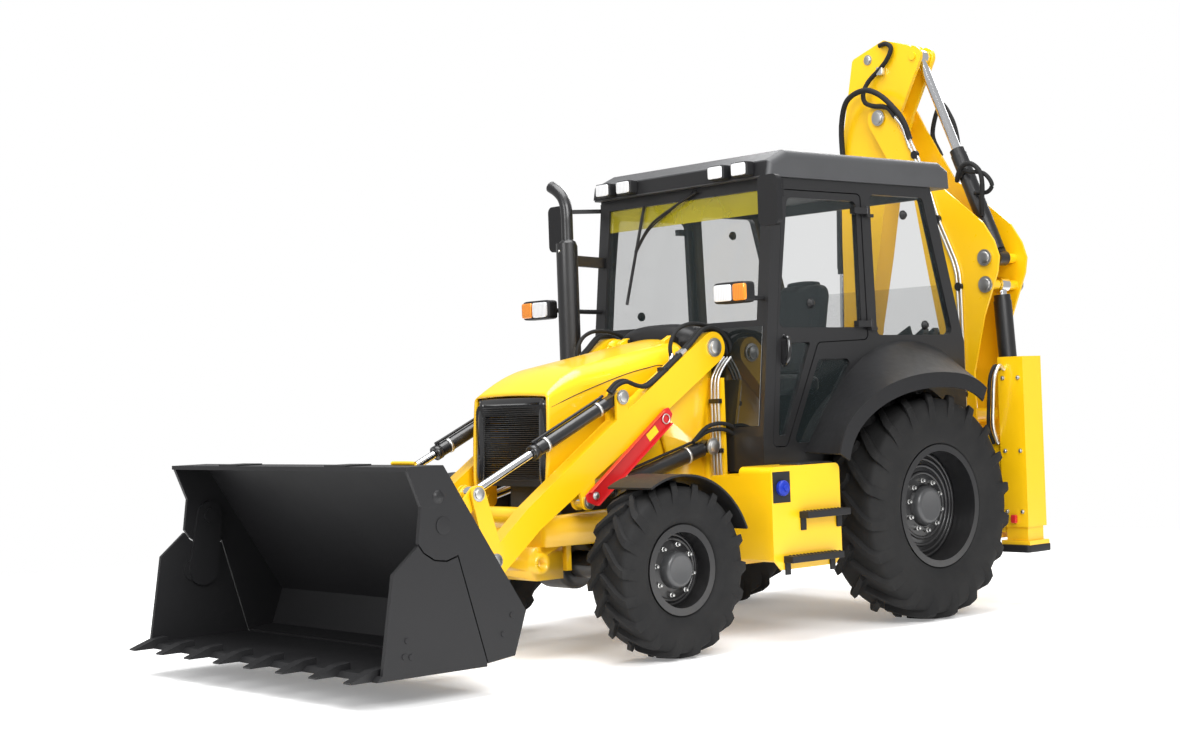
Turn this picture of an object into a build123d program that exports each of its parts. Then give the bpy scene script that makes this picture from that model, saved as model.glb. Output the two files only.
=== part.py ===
"""Backhoe loader with a clam loader bucket and a sideshift backhoe folded for transport.

Millimetres. The pieces are drawn with x forward from the rear axle, y to the left and
z up from the ground, and are stored about the middle of the machine's box.
"""
from build123d import *
from math import cos, hypot, radians, sin
import os

# Running fits and gaps
FIT = 0.3
SLIDE_FIT = 0.4
SEAM = 8

# Wheels
WHEELBASE = 2175
REAR_DIAMETER = 1430
REAR_WIDTH = 430
REAR_TRACK = 1810
REAR_FLANGE_R = 383
REAR_RIM_WIDTH = 380
REAR_STUB_R = 60
FRONT_DIAMETER = 990
FRONT_WIDTH = 315
FRONT_TRACK = 1780
FRONT_FLANGE_R = 252
FRONT_RIM_WIDTH = 250
FRONT_STUB_R = 45
KINGPIN_Y = 700
GUARD_GAP = 25
FLANGE_RISE = 27
FLANGE_WALL = 12
RIM_WALL = 14
DISC_OFFSET = 35
DISC_WALL = 16
HUB_BOSS = 60
LUG_COUNT = 20
LUG_RISE = 0.052
LUG_LEAN = 0.30
LUG_WIDE = 0.085

# Chassis
RAIL_INNER = 300
RAIL_OUTER = 360
RAIL_LOW = 620
RAIL_HIGH = 920
RAIL_REAR = -880
RAIL_FRONT = WHEELBASE + 425
NOSE_REAR = WHEELBASE + 265
NOSE_FRONT = WHEELBASE + 525
NOSE_LOW = 440
NOSE_HIGH = 630
TOW_PIN = (WHEELBASE + 455, 540)
TOW_BORE_R = 28
TOW_BOSS_R = 60
TOW_BOSS = 45

# Loader towers and arms
TOWER_WALL = 25
ARM_INNER = 400
ARM_OUTER = 500
ARM_PIVOT = (1360, 1745)
ARM_KNEE = (2150, 1235)
ARM_BEND = (2800, 810)
BUCKET_PIN = (3300, 400)
ARM_PIVOT_R = 40
BUCKET_PIN_R = 35
LIFT_BASE = (1400, 1150)
LIFT_EYE = (2400, 880)
TILT_BASE = (2119, 1465)
LEVER_PIVOT = (3096, 600)
LEVER_TOP = (3200, 970)
LUG_WALL = 18
PIN_R = 28

# Loader bucket
BUCKET_WIDTH = 2290
BUCKET_WALL = 23
BUCKET_FLOOR = 150
EDGE_X = 4304
TOOTH_TIP_X = 4450
TOOTH_COUNT = 8
JAW_PIVOT = (3910, 868)
JAW_NOSE_R = 172

# Hood and engine
HOOD_REAR = 1430
HOOD_FRONT = 2575
HOOD_LOW = 960
HOOD_HIGH = 1790
HOOD_HALF = 335
HOOD_WALL = 14
HOOD_HINGE = (1428, 1812)

# Cab
CAB_HALF = 780
CAB_WALL = 45
CAB_FLOOR = 990
CAB_TOP = 2760
CAB_FRONT = 1250
CAB_BROW = 1085
CAB_SILL = 1200
WINDSCREEN_LOW = 1900
CAB_REAR = -700
ROOF_TOP = 2930
GLASS = 6
GLASS_INSET = 15
ARCH_R = 800
ARCH_HALF = 640
DOOR_GAP = 6
DOOR_HINGE = (255, 800)
FENDER_WIDTH = 370
FENDER_LIP = 95
FENDER_WALL = 14

# Rear frame and backhoe; the backhoe's own plane runs outwards (u) from the slew axis
FRAME_REAR = -1000
SLEW_X = -1380
SLEW_Y = 620
BOOM_HALF = 165
BOOM_WALL = 16
DIPPER_HALF = 85
BOOM_FOOT = (250, 720)
RAM_BASE = (-40, 1120)
RAM_EYE = (30, 2150)
DIPPER_RAM_BASE = (30, 2335)
DIPPER_PIN = (925, 3416)
DIPPER_LENGTH = 1850
DIPPER_TILT = 12
DIPPER_EYE = (-461, -169)
HOE_RAM_BASE = (DIPPER_LENGTH - 1450, 440)
HOE_LEVER_PIVOT = (DIPPER_LENGTH - 290, -10)
HOE_LEVER = 360
HOE_LINK_PIN = 270
HOE_LINK_ANGLE = -20
HOE_LEVER_ANGLE = 31.6
HOE_WIDTH = 560
LEG_X = -950
LEG_Y = 1030
LEG_SIZE = 168
LEG_WALL = 16
LEG_LOW = 430
LEG_HIGH = 1600
PAD_LOW = 360

MIDDLE_X = (TOOTH_TIP_X + SLEW_X - HOE_WIDTH / 2) / 2


def outline(points, radius=0):
    """A closed outline through the points, its corners rounded."""
    face = make_face(Polyline(*points, close=True))
    return fillet(face.vertices(), radius) if radius else face


def disc(point, radius):
    return Pos(*point) * Circle(radius)


def hull(*circles):
    """The outline drawn tight around circles given as (point, radius)."""
    edges = [edge for point, radius in circles for edge in disc(point, radius).edges()]
    return make_hull(edges)


def side(face, y0, y1):
    """A plate: an outline in x and z, from y0 to y1."""
    return extrude(Plane((0, y1, 0), x_dir=(1, 0, 0), z_dir=(0, -1, 0)) * face, y1 - y0)


def across(face, x0, x1):
    """A plate: an outline in y and z, from x0 to x1."""
    return extrude(Plane((x0, 0, 0), x_dir=(0, 1, 0), z_dir=(1, 0, 0)) * face, x1 - x0)


def block(x0, x1, y0, y1, z0, z1):
    return Pos((x0 + x1) / 2, (y0 + y1) / 2, (z0 + z1) / 2) * Box(x1 - x0, y1 - y0, z1 - z0)


def pin_y(point, radius, y0, y1):
    """A round bar along y through a point in x and z."""
    return Pos(point[0], (y0 + y1) / 2, point[1]) * Cylinder(radius, y1 - y0, rotation=(90, 0, 0))


def pin_x(point, radius, x0, x1):
    """A round bar along x through a point in y and z."""
    return Pos((x0 + x1) / 2, *point) * Cylinder(radius, x1 - x0, rotation=(0, 90, 0))


def post(x, y, radius, z0, z1):
    return Pos(x, y, (z0 + z1) / 2) * Cylinder(radius, z1 - z0)


def other_side(shape):
    return mirror(shape, about=Plane.XZ)


def pair(shape):
    """The left piece and its mirror on the right."""
    return [shape, other_side(shape)]


def turned(points):
    """A ring turned about the y axis from points given as (radius, y)."""
    return revolve(make_face(Polyline(*points, close=True)), Axis.Y, 360)


def ring(inner, outer, y0, y1):
    return turned([(inner, y0), (outer, y0), (outer, y1), (inner, y1)])


def wheel_place(x, y, diameter):
    return Pos(x, y, diameter / 2)


def tyre_body(diameter, width, flange, rim_width, inset):
    """Tyre section: bead on the rim, bulged wall, shoulder and flat tread, drawn in by an inset."""
    radius = diameter / 2
    half = width / 2
    seat = rim_width / 2 - FLANGE_WALL - FIT
    bore = flange - FLANGE_RISE + FIT
    wall = (flange + radius) / 2
    shoulder = 0.12 * radius
    upper = [
        (bore, seat),
        (flange + 3, seat),
        (flange + 14, rim_width / 2 + 3),
        (wall, half),
        (radius - shoulder, half - 8 - inset / 3),
        (radius - inset, half - shoulder / 2 - inset / 2),
    ]
    return turned(upper + [(r, -y) for r, y in reversed(upper)])


def tyre(diameter, width, flange, rim_width):
    """Tyre body with slanted lugs that run from the middle of the tread over each shoulder in turn."""
    radius = diameter / 2
    half = width / 2
    rise = LUG_RISE * radius
    lean = LUG_LEAN * radius
    wide = LUG_WIDE * radius
    plan = outline([(-0.4 * wide, -0.04 * width), (0.4 * wide, -0.04 * width), (lean + 0.6 * wide, half + 1),
                    (lean - 0.6 * wide, half + 1)])
    lug = extrude(Plane((0, 0, 0.84 * radius)) * plan, 0.2 * radius)
    lug = lug & tyre_body(diameter, width, flange, rim_width, 0)
    pitch = 360 / LUG_COUNT
    lugs = []
    for k in range(LUG_COUNT):
        lugs.append(Rot(0, 180 + k * pitch, 0) * lug)
        lugs.append(Rot(0, 180 + (k + 0.5) * pitch, 0) * other_side(lug))
    return tyre_body(diameter, width, flange, rim_width, rise) + lugs


def rim(flange, rim_width, stub):
    """Drop-centre rim, dished disc and the hub boss that runs on the axle stub."""
    bore = flange - FLANGE_RISE
    half = rim_width / 2
    well = bore - RIM_WALL
    shell = ring(well, bore, -half, half)
    for end in (-1, 1):
        inner, outer = sorted((end * half, end * (half - FLANGE_WALL)))
        shell += ring(well, flange, inner, outer)
    hub = stub + FIT
    dish = [
        (hub, DISC_OFFSET),
        (hub * 2.2, DISC_OFFSET),
        (well + 1, DISC_OFFSET - 30),
        (well + 1, DISC_OFFSET - 30 + DISC_WALL),
        (hub * 2.2, DISC_OFFSET + DISC_WALL),
        (hub * 1.7, DISC_OFFSET + HUB_BOSS),
        (hub, DISC_OFFSET + HUB_BOSS),
    ]
    return shell + turned(dish)


def wheels(nodes):
    sets = [
        ("rear", 0, REAR_TRACK / 2, REAR_DIAMETER, REAR_WIDTH, REAR_FLANGE_R, REAR_RIM_WIDTH, REAR_STUB_R),
        ("front", WHEELBASE, FRONT_TRACK / 2, FRONT_DIAMETER, FRONT_WIDTH, FRONT_FLANGE_R,
         FRONT_RIM_WIDTH, FRONT_STUB_R),
    ]
    for name, x, y, diameter, width, flange, rim_width, stub in sets:
        left_tyre = wheel_place(x, y, diameter) * tyre(diameter, width, flange, rim_width)
        left_rim = wheel_place(x, y, diameter) * rim(flange, rim_width, stub)
        nodes[f"tyre_{name}_left"] = [left_tyre]
        nodes[f"tyre_{name}_right"] = [other_side(left_tyre)]
        nodes[f"rim_{name}_left"] = [left_rim]
        nodes[f"rim_{name}_right"] = [other_side(left_rim)]


def rear_axle():
    """Housing, trumpets and final drives, with a stub for each wheel."""
    z = REAR_DIAMETER / 2
    hub = REAR_TRACK / 2 + DISC_OFFSET
    centre = (0, z)
    housing = pin_y(centre, 190, -180, 180)
    housing = fillet(housing.edges(), 50)
    trumpet = pin_y(centre, 105, -RAIL_OUTER - 300, RAIL_OUTER + 300)
    drive = pin_y(centre, 150, 640, hub - 10)
    stub = pin_y(centre, REAR_STUB_R, hub - 20, hub + HUB_BOSS + 10)
    return housing + trumpet + drive + other_side(drive) + stub + other_side(stub)


def front_axle():
    """Beam with its trunnion and the yokes that hold the kingpins."""
    z = FRONT_DIAMETER / 2
    centre = (WHEELBASE, z)
    beam = pin_y(centre, 80, -600, 600) + fillet(pin_y(centre, 150, -140, 140).edges(), 40)
    beam += pin_x((0, z + 60), 45, WHEELBASE - 240, WHEELBASE + 240)
    yoke = block(WHEELBASE - 50, WHEELBASE + 50, 540, 640, z - 125, z + 125)
    for low in (z - 125, z + 95):
        yoke += block(WHEELBASE - 50, WHEELBASE + 50, 600, KINGPIN_Y, low, low + 30)
        yoke += post(WHEELBASE, KINGPIN_Y, 58, low, low + 30)
    yoke -= post(WHEELBASE, KINGPIN_Y, 24 + FIT, z - 200, z + 200)
    return beam + yoke + other_side(yoke)


def knuckle():
    """Kingpin barrel, wheel hub and the arm that carries the front mudguard."""
    z = FRONT_DIAMETER / 2
    hub = FRONT_TRACK / 2 + DISC_OFFSET
    body = post(WHEELBASE, KINGPIN_Y, 52, z - 94, z + 94)
    body += post(WHEELBASE, KINGPIN_Y, 24, z - 140, z + 140)
    body += pin_y((WHEELBASE, z), 50, KINGPIN_Y, 800)
    body += pin_y((WHEELBASE, z), 95, 772, hub - 10)
    body += pin_y((WHEELBASE, z), FRONT_STUB_R, hub - 20, hub + HUB_BOSS + 10)
    route = [((WHEELBASE - 30, z), 30), ((WHEELBASE - 125, z + 5), 25),
             ((WHEELBASE - 185, z + 285), 25), ((WHEELBASE - 228, z + 490), 25)]
    for start, end in zip(route, route[1:]):
        body += side(hull(start, end) & disc((WHEELBASE, z), z + GUARD_GAP - FIT), 690, 714)
    return body


def front_guard():
    """Curved mudguard over the top and rear of a front wheel."""
    z = FRONT_DIAMETER / 2
    inner = z + GUARD_GAP
    band = disc((WHEELBASE, z), inner + 12) - disc((WHEELBASE, z), inner)
    reach = 2 * inner
    wedge = outline([(WHEELBASE, z)] + [
        (WHEELBASE + reach * cos(radians(a)), z + reach * sin(radians(a))) for a in (62, 110, 158)])
    return side(band & wedge, 690, FRONT_TRACK / 2 + FRONT_WIDTH / 2)


def main_frame():
    """Rails, cross members, nose and the two loader towers."""
    rail = side(outline([(RAIL_REAR, RAIL_LOW), (RAIL_REAR, RAIL_HIGH), (1250, RAIL_HIGH), (1640, 830),
                         (RAIL_FRONT, 800), (RAIL_FRONT, NOSE_LOW + 190), (1300, RAIL_LOW)]),
                RAIL_INNER, RAIL_OUTER)
    rail -= pin_y((0, REAR_DIAMETER / 2), 105 + FIT, RAIL_INNER - 1, RAIL_OUTER + 1)
    for x in (-300, 1120):
        rail += block(x, x + 80, RAIL_INNER, RAIL_OUTER, RAIL_HIGH, CAB_FLOOR)
    tower = side(outline([(1285, 640), (1640, 640), (1650, 1080), (1692, 1230), (1682, 1340), (1440, 1790),
                          (1272, 1745)], 20) + disc(ARM_PIVOT, 88), RAIL_OUTER, RAIL_OUTER + TOWER_WALL)
    outer = Pos(0, ARM_OUTER + 10 - RAIL_OUTER, 0) * tower
    tower += outer
    tower += block(1285, 1305, RAIL_OUTER, ARM_OUTER + 20, 660, 1560)
    tower += block(1305, 1630, RAIL_OUTER, ARM_OUTER + 20, 645, 670)
    tower += pin_y(ARM_PIVOT, ARM_PIVOT_R, RAIL_OUTER, ARM_OUTER + 45)
    tower += pin_y(LIFT_BASE, PIN_R, RAIL_OUTER, ARM_OUTER + 45)
    nose = block(NOSE_REAR, NOSE_FRONT, -RAIL_INNER, RAIL_INNER, NOSE_LOW, NOSE_HIGH)
    nose = chamfer(nose.edges().filter_by(Axis.Y).group_by(Axis.X)[-1], 60)
    boss = pin_y(TOW_PIN, TOW_BOSS_R, RAIL_INNER - 10, RAIL_INNER + TOW_BOSS)
    boss -= pin_y(TOW_PIN, TOW_BORE_R, RAIL_INNER, RAIL_INNER + TOW_BOSS + 1)
    nose -= pin_y(TOW_PIN, TOW_BORE_R, RAIL_INNER, RAIL_INNER + 1)
    half = rail + tower + boss
    frame = half + other_side(half) + nose
    frame += block(NOSE_REAR, RAIL_FRONT, -RAIL_INNER, RAIL_INNER, NOSE_HIGH, 800)
    for x0, x1, low, high in ((RAIL_REAR, -820, RAIL_LOW, 800), (560, 640, RAIL_LOW, 800), (1290, 1310, 640, 1000)):
        frame += block(x0, x1, -RAIL_INNER, RAIL_INNER, low, high)
    for x in (WHEELBASE - 235, WHEELBASE + 200):
        frame += block(x, x + 35, -RAIL_INNER, RAIL_INNER, 480, 760)
    return frame - pin_x((0, FRONT_DIAMETER / 2 + 60), 45 + FIT, WHEELBASE - 241, WHEELBASE + 241)


def engine_block():
    low = block(1480, 1920, -RAIL_INNER, RAIL_INNER, 700, 900)
    return low + block(1480, 2380, -230, 230, 780, 1440)


def hood_side(inset):
    """The hood seen from the side, drawn in by a wall."""
    return outline([(HOOD_REAR - inset, HOOD_LOW - inset), (HOOD_REAR - inset, HOOD_HIGH - inset),
                    (2440, 1570 - inset), (2545, 1490 - inset), (HOOD_FRONT + inset, HOOD_LOW - inset)])


def hood_hollow(wall):
    """The space inside the hood."""
    half = HOOD_HALF - wall
    hollow = side(hood_side(wall), -half, half)
    edges = [e for e in hollow.edges() if abs(abs(e.center().Y) - half) < 1 and e.center().Z > 1480]
    return fillet(edges, 90 - wall)


def hood():
    """Crowned engine hood, open below, behind and at the grille, with its hinge eyes."""
    half = HOOD_HALF
    shell = side(hood_side(0), -half, half)
    edges = [e for e in shell.edges() if abs(abs(e.center().Y) - half) < 1 and e.center().Z > 1500]
    shell = fillet(edges, 90)
    shell -= hood_hollow(HOOD_WALL)
    for y in (-220, 180):
        eye = side(hull((HOOD_HINGE, 20), ((1470, 1770), 14)), y, y + 40)
        shell += eye - pin_y(HOOD_HINGE, 10 + FIT, y - 1, y + 41)
    return shell


def grille():
    """Slatted front panel between two side pillars."""
    half = HOOD_HALF - HOOD_WALL
    low, high = HOOD_LOW + 10, 1440
    panel = block(2490, 2550, -half, half, low, high)
    panel -= block(2480, 2560, -half + 55, half - 55, low + 45, high - 60)
    slats = 9
    pitch = (high - low - 105) / slats
    for k in range(slats):
        z = low + 45 + (k + 0.5) * pitch
        panel += side(outline([(2500, z - 12), (2540, z - 18), (2540, z + 2), (2500, z + 8)]), -half + 50, half - 50)
    return panel & hood_hollow(HOOD_WALL + FIT)


def cab_front(z):
    """How far forward the raked front of the cab lies at a height."""
    return CAB_FRONT - (CAB_FRONT - CAB_BROW) * (z - CAB_SILL) / (CAB_TOP - CAB_SILL)


def cowl():
    """Dark hump between the hood and the windscreen, with the hood's hinge pins."""
    body = side(outline([(cab_front(1480), 1480), (1400, 1480), (1400, 1790), (1300, 1870), (cab_front(1870), 1870)]),
                -HOOD_HALF, HOOD_HALF)
    for y in (-240, -180 + 2, 160, 220 + 2):
        body += side(hull((HOOD_HINGE, 14), ((1390, 1770), 14)), y, y + 18)
    for y in (-240, 160):
        body += pin_y(HOOD_HINGE, 10, y, y + 80)
    return body


def cab_side(inset, top):
    """The cab's side outline, drawn in by a wall."""
    return outline([(CAB_FRONT - inset, CAB_FLOOR + inset), (CAB_FRONT - inset, CAB_SILL), (cab_front(top) - inset, top),
                    (-400 + inset, top), (CAB_REAR + inset, 1750), (CAB_REAR + inset, CAB_FLOOR + inset)])


def cab_box(inset, top):
    """The cab's solid outline with room for the rear wheels."""
    half = CAB_HALF - inset
    body = side(cab_side(inset, top), -half, half)
    arch = pin_y((0, REAR_DIAMETER / 2), ARCH_R + inset, ARCH_HALF - inset, CAB_HALF + 1)
    return body - arch - other_side(arch)


DOOR_OPENING = [(1170, 1130), (1008, 2690), (290, 2690), (262, 1770), (730, 1755), (1040, 1130)]
QUARTER_OPENING = [(205, 2690), (178, 1800), (-585, 1800), (-318, 2690)]
KICK_OPENING = [(985, 1150), (735, 1655), (420, 1655), (620, 1400), (790, 1150)]


def cab_holes():
    """Windscreen, rear window, doors, quarter windows and the fixed panes ahead of the arches."""
    holes = [block(800, 1400, -690, 690, WINDSCREEN_LOW, 2690), block(-800, -200, -690, 690, 1800, 2690)]
    for points, radius in ((DOOR_OPENING, 40), (QUARTER_OPENING, 40), (KICK_OPENING, 30)):
        holes += pair(side(outline(points, radius), CAB_HALF - CAB_WALL - 20, CAB_HALF + 20))
    return holes


def cab_frame():
    """Hollow cab with its pillars, floor and arches, and a hinge bracket for each door."""
    shell = cab_box(0, CAB_TOP) - cab_box(CAB_WALL, CAB_TOP + 60)
    for hole in cab_holes():
        shell -= hole
    for z in (1850, 2560):
        bracket = block(DOOR_HINGE[0] - 45, DOOR_HINGE[0] + 14, CAB_HALF - 5, DOOR_HINGE[1] + 14, z - 20, z)
        bracket += post(*DOOR_HINGE, 9, z - 20, z + 50)
        shell += bracket + other_side(bracket)
    return shell


def cab_glass():
    """Flat panes set in the cab's openings."""
    skin = cab_box(GLASS_INSET, CAB_TOP + 30) - cab_box(GLASS_INSET + GLASS, CAB_TOP + 90)
    panes = []
    for k, hole in enumerate(cab_holes()):
        if k not in (2, 3):
            panes.append(skin & hole)
    return panes


def door():
    """Door frame with an upper and a lower opening, hinge eyes and a handle."""
    shape = offset(outline(DOOR_OPENING, 40), -DOOR_GAP)
    panel = side(shape, CAB_HALF - 42, CAB_HALF - 4)
    for hole in door_holes():
        panel -= hole
    for z in (1850, 2560):
        panel += block(DOOR_HINGE[0] + 60, DOOR_HINGE[0] + 130, CAB_HALF - 10, DOOR_HINGE[1] + 10, z, z + 40)
        panel += block(DOOR_HINGE[0], DOOR_HINGE[0] + 70, CAB_HALF + 4, DOOR_HINGE[1] + 10, z, z + 40)
        panel += post(*DOOR_HINGE, 16, z, z + 40)
        panel -= post(*DOOR_HINGE, 9 + FIT, z - 1, z + 60)
    panel += block(1020, 1060, CAB_HALF - 10, CAB_HALF + 22, 1640, 1770)
    return panel


def door_holes():
    upper = outline([(1075, 1850), (965, 2640), (335, 2640), (318, 1850)], 40)
    lower = outline([(1110, 1200), (1060, 1760), (800, 1760), (1050, 1200)], 12)
    return [side(face, CAB_HALF - 60, CAB_HALF + 20) for face in (upper, lower)]


def door_glass():
    sheet = block(200, 1250, CAB_HALF - 26, CAB_HALF - 26 + GLASS, 1100, 2700)
    return [sheet & hole for hole in door_holes()]


def roof_block():
    return side(outline([(-600, CAB_TOP), (1150, CAB_TOP), (1130, 2860), (980, ROOF_TOP), (-500, ROOF_TOP),
                         (-590, 2880)]), -800, 800)


def cab_roof():
    """Roof cap with rounded edges and a visor over the windscreen."""
    roof = roof_block()
    long_edges = [e for e in roof.edges() if abs(abs(e.center().Y) - 800) < 1 and e.center().Z > CAB_TOP + 5]
    return fillet(long_edges, 45)


GUARD_INNER = [(890, 1092), (803, 1210), (705, 1341), (510, 1533), (264, 1692), (17, 1760), (-233, 1755), (-470, 1690)]
GUARD_OUTER = [(985, 1085), (890, 1265), (702, 1406), (465, 1497), (224, 1541), (-70, 1548), (-320, 1505), (-440, 1440)]


def arch_band(points, wall):
    """A band of even depth below a smooth line through the points."""
    ahead = points[1:] + points[-1:]
    behind = points[:1] + points[:-1]
    low = []
    for point, a, b in zip(points, behind, ahead):
        run = hypot(b[0] - a[0], b[1] - a[1])
        low.append((point[0] + wall * (a[1] - b[1]) / run, point[1] - wall * (a[0] - b[0]) / run))
    top, under = Spline(*points), Spline(*low)
    return make_face([top, under, Line(points[0], low[0]), Line(points[-1], low[-1])])


def rear_guard():
    """Black rear mudguard: an arched skin from the cab's side down to its outer edge, with a deep lip."""
    outer = CAB_HALF + FENDER_WIDTH
    ends = []
    for points, y in ((GUARD_INNER, CAB_HALF), (GUARD_OUTER, outer)):
        ends.append(Plane((0, y, 0), x_dir=(1, 0, 0), z_dir=(0, -1, 0)) * arch_band(points, FENDER_WALL))
    return loft(ends) + side(arch_band(GUARD_OUTER, FENDER_LIP), outer - FENDER_WALL, outer)


STEP_REAR = REAR_DIAMETER / 2 + 175
STEP_FRONT = WHEELBASE - FRONT_DIAMETER / 2 - 200


def step_box():
    """Box ahead of the rear wheel, with two treads and its bracket on the rail."""
    length = STEP_FRONT - STEP_REAR
    shell = block(STEP_REAR, STEP_FRONT, 560, 1050, 430, 1030)
    shell = chamfer(shell.edges().filter_by(Axis.Y).group_by(Axis.Z)[0], 60)
    shell = fillet(shell.edges().filter_by(Axis.Y).group_by(Axis.Z)[-1], 40)
    shell -= block(STEP_REAR + 10, STEP_FRONT - 10, 570, 1040, 400, 980)
    for start, end, z in ((0, 0.61, 725), (0.12, 0.86, 475)):
        shell += block(STEP_REAR + start * length, STEP_REAR + end * length, 1040, 1120, z, z + 28)
    shell -= block(STEP_REAR - 10, STEP_FRONT + 10, 550, CAB_HALF + 10, CAB_FLOOR - 10, 1040)
    return shell + block(STEP_REAR + 0.12 * length, STEP_REAR + 0.6 * length, RAIL_OUTER, 570, 660, 800)


def exhaust():
    """Muffler and raked stack beside the right tower."""
    x, y = 1540, -605
    stack = post(x, y, 62, 1500, 2150) + post(x, y, 38, 1330, 1510) + post(x, y, 38, 2140, 2700)
    elbow = Pos(x, y, 2700) * Rot(0, -28, 0) * Cylinder(38, 150, align=(Align.CENTER, Align.CENTER, Align.MIN))
    inlet = pin_y((x, 1350), 30, y, -(ARM_OUTER + 10 + TOWER_WALL))
    return stack + Pos(0, 0, -20) * elbow + inlet


def headlamps():
    lamp = block(1380, 1470, 620, 800, 1960, 2120)
    lamp = fillet(lamp.edges().filter_by(Axis.X), 25)
    stay = block(1100, 1385, 700, 730, 2020, 2050) - side(cab_side(0, CAB_TOP), 600, 900)
    return lamp + stay


def work_lamps():
    """Square lamps in pairs under the roof's front and rear edges."""
    lamps = []
    for x, y in ((1150, 420), (1150, 620), (-660, 420), (-660, 620)):
        body = block(x - 5, x + 65, y - 70, y + 70, CAB_TOP + 10, CAB_TOP + 100)
        lamps += pair(fillet(body.edges().filter_by(Axis.X), 15) - roof_block())
    return lamps


def mirror_arm():
    """Mirror head on a stay from the front pillar."""
    head = block(1290, 1330, 880, 1040, 2440, 2740)
    head = fillet(head.edges().filter_by(Axis.X), 40)
    stay = make_hull(disc((1045, CAB_HALF + 16), 14).edges() + disc((1300, 950), 14).edges())
    foot = block(1020, 1070, CAB_HALF, CAB_HALF + 24, 2640, 2745)
    return head + foot + Pos(0, 0, 2690) * extrude(stay, 26)


def seat():
    """Padded seat and backrest."""
    cushion = fillet(block(60, 560, -250, 250, 1440, 1570).edges(), 40)
    back = side(outline([(60, 1560), (170, 1560), (40, 2190), (-60, 2190)], 40), -230, 230)
    return [cushion, Pos(-3, 0, 10 + FIT) * back]


def seat_base():
    return block(140, 480, -200, 200, CAB_FLOOR + CAB_WALL, 1440)


def console():
    """Dashboard post, steering column and wheel."""
    body = side(outline([(1010, CAB_FLOOR + CAB_WALL), (1160, CAB_FLOOR + CAB_WALL), (1120, 1700), (960, 1700)], 30), -170, 170)
    column = Pos(980, 0, 1660) * Rot(0, -30, 0) * Cylinder(25, 200, align=(Align.CENTER, Align.CENTER, Align.MIN))
    wheel = Pos(888, 0, 1820) * Rot(0, -30, 0) * (Torus(185, 15) + Box(380, 40, 16))
    return body + column + wheel


def arm():
    """One loader arm with its bores, the lift lugs below and the tilt lugs above."""
    shape = hull((ARM_PIVOT, 95), (ARM_KNEE, 90)) + hull((ARM_KNEE, 90), (ARM_BEND, 74))
    shape += hull((ARM_BEND, 74), (BUCKET_PIN, 70))
    body = side(shape, ARM_INNER, ARM_OUTER)
    lift = hull(((LIFT_EYE[0] + 20, LIFT_EYE[1] + 180), 70), (LIFT_EYE, 50))
    tilt = hull(((TILT_BASE[0], TILT_BASE[1] - 150), 46), (TILT_BASE, 42))
    for y in (ARM_INNER, ARM_OUTER - LUG_WALL):
        body += side(lift, y, y + LUG_WALL) + side(tilt, y, y + LUG_WALL)
    body += pin_y(TILT_BASE, PIN_R, ARM_INNER - 8, ARM_OUTER + 8)
    body += pin_y(LIFT_EYE, PIN_R, ARM_INNER - 8, ARM_INNER + LUG_WALL)
    body += pin_y(LIFT_EYE, PIN_R, ARM_OUTER - LUG_WALL, ARM_OUTER + 8)
    bores = [(ARM_PIVOT, ARM_PIVOT_R), (BUCKET_PIN, BUCKET_PIN_R), (LEVER_PIVOT, PIN_R)]
    for point, radius in bores:
        body -= pin_y(point, radius + FIT, ARM_INNER - 1, ARM_OUTER + 1)
    return body


def loader_arms():
    left = arm()
    tube = pin_y(ARM_BEND, 62, -ARM_INNER - 10, ARM_INNER + 10)
    return left + other_side(left) + tube


def safety_strut():
    """Lock strut stowed along the left arm's outer face."""
    low, high = (2375, 905), (1790, 1340)
    bar = side(hull((low, 32), (high, 32)), ARM_OUTER + 14, ARM_OUTER + 44)
    for share in (0.1, 0.9):
        point = (low[0] + share * (high[0] - low[0]), low[1] + share * (high[1] - low[1]))
        mount = (point[0] + 45, point[1] + 70)
        bar += side(hull((point, 16), (mount, 16)), ARM_OUTER, ARM_OUTER + 20)
    return bar


def ram_place(base, tip, y):
    """A frame with x along a ram from its base to its eye, and y along its pins."""
    axis = Vector(tip[0] - base[0], 0, tip[1] - base[1]).normalized()
    return Plane((base[0], y, base[1]), x_dir=axis, z_dir=axis.cross(Vector(0, 1, 0)))


def rod_x(radius, x0, x1):
    return Pos((x0 + x1) / 2, 0, 0) * Cylinder(radius, x1 - x0, rotation=(0, 90, 0))


def eye_y(x, radius, width):
    return Pos(x, 0, 0) * Cylinder(radius, width, rotation=(90, 0, 0))


def ram_barrel(length, start, radius, rod, eye, width, pin):
    """Barrel with its base eye at the origin, a neck and its gland at the far end."""
    body = rod_x(radius, start, length - 40) + rod_x(radius * 0.92, length - 45, length) + eye_y(0, eye, width)
    body += Pos(start / 2 + 4, 0, 0) * Box(start + 8, width, 1.4 * eye)
    body -= rod_x(rod + SLIDE_FIT, eye + 10, length + 1)
    return body - eye_y(0, pin + FIT, width + 2)


def ram_rod(start, length, rod, eye, width):
    """Rod from inside its barrel to its eye."""
    return rod_x(rod, start, length - eye * 0.5) + eye_y(length, eye, width)


def span(a, b):
    return hypot(b[0] - a[0], b[1] - a[1])


LIFT_BARREL = 830
LIFT_ROD_START = 100
TILT_BARREL = 710
TILT_ROD_START = 212


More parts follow.
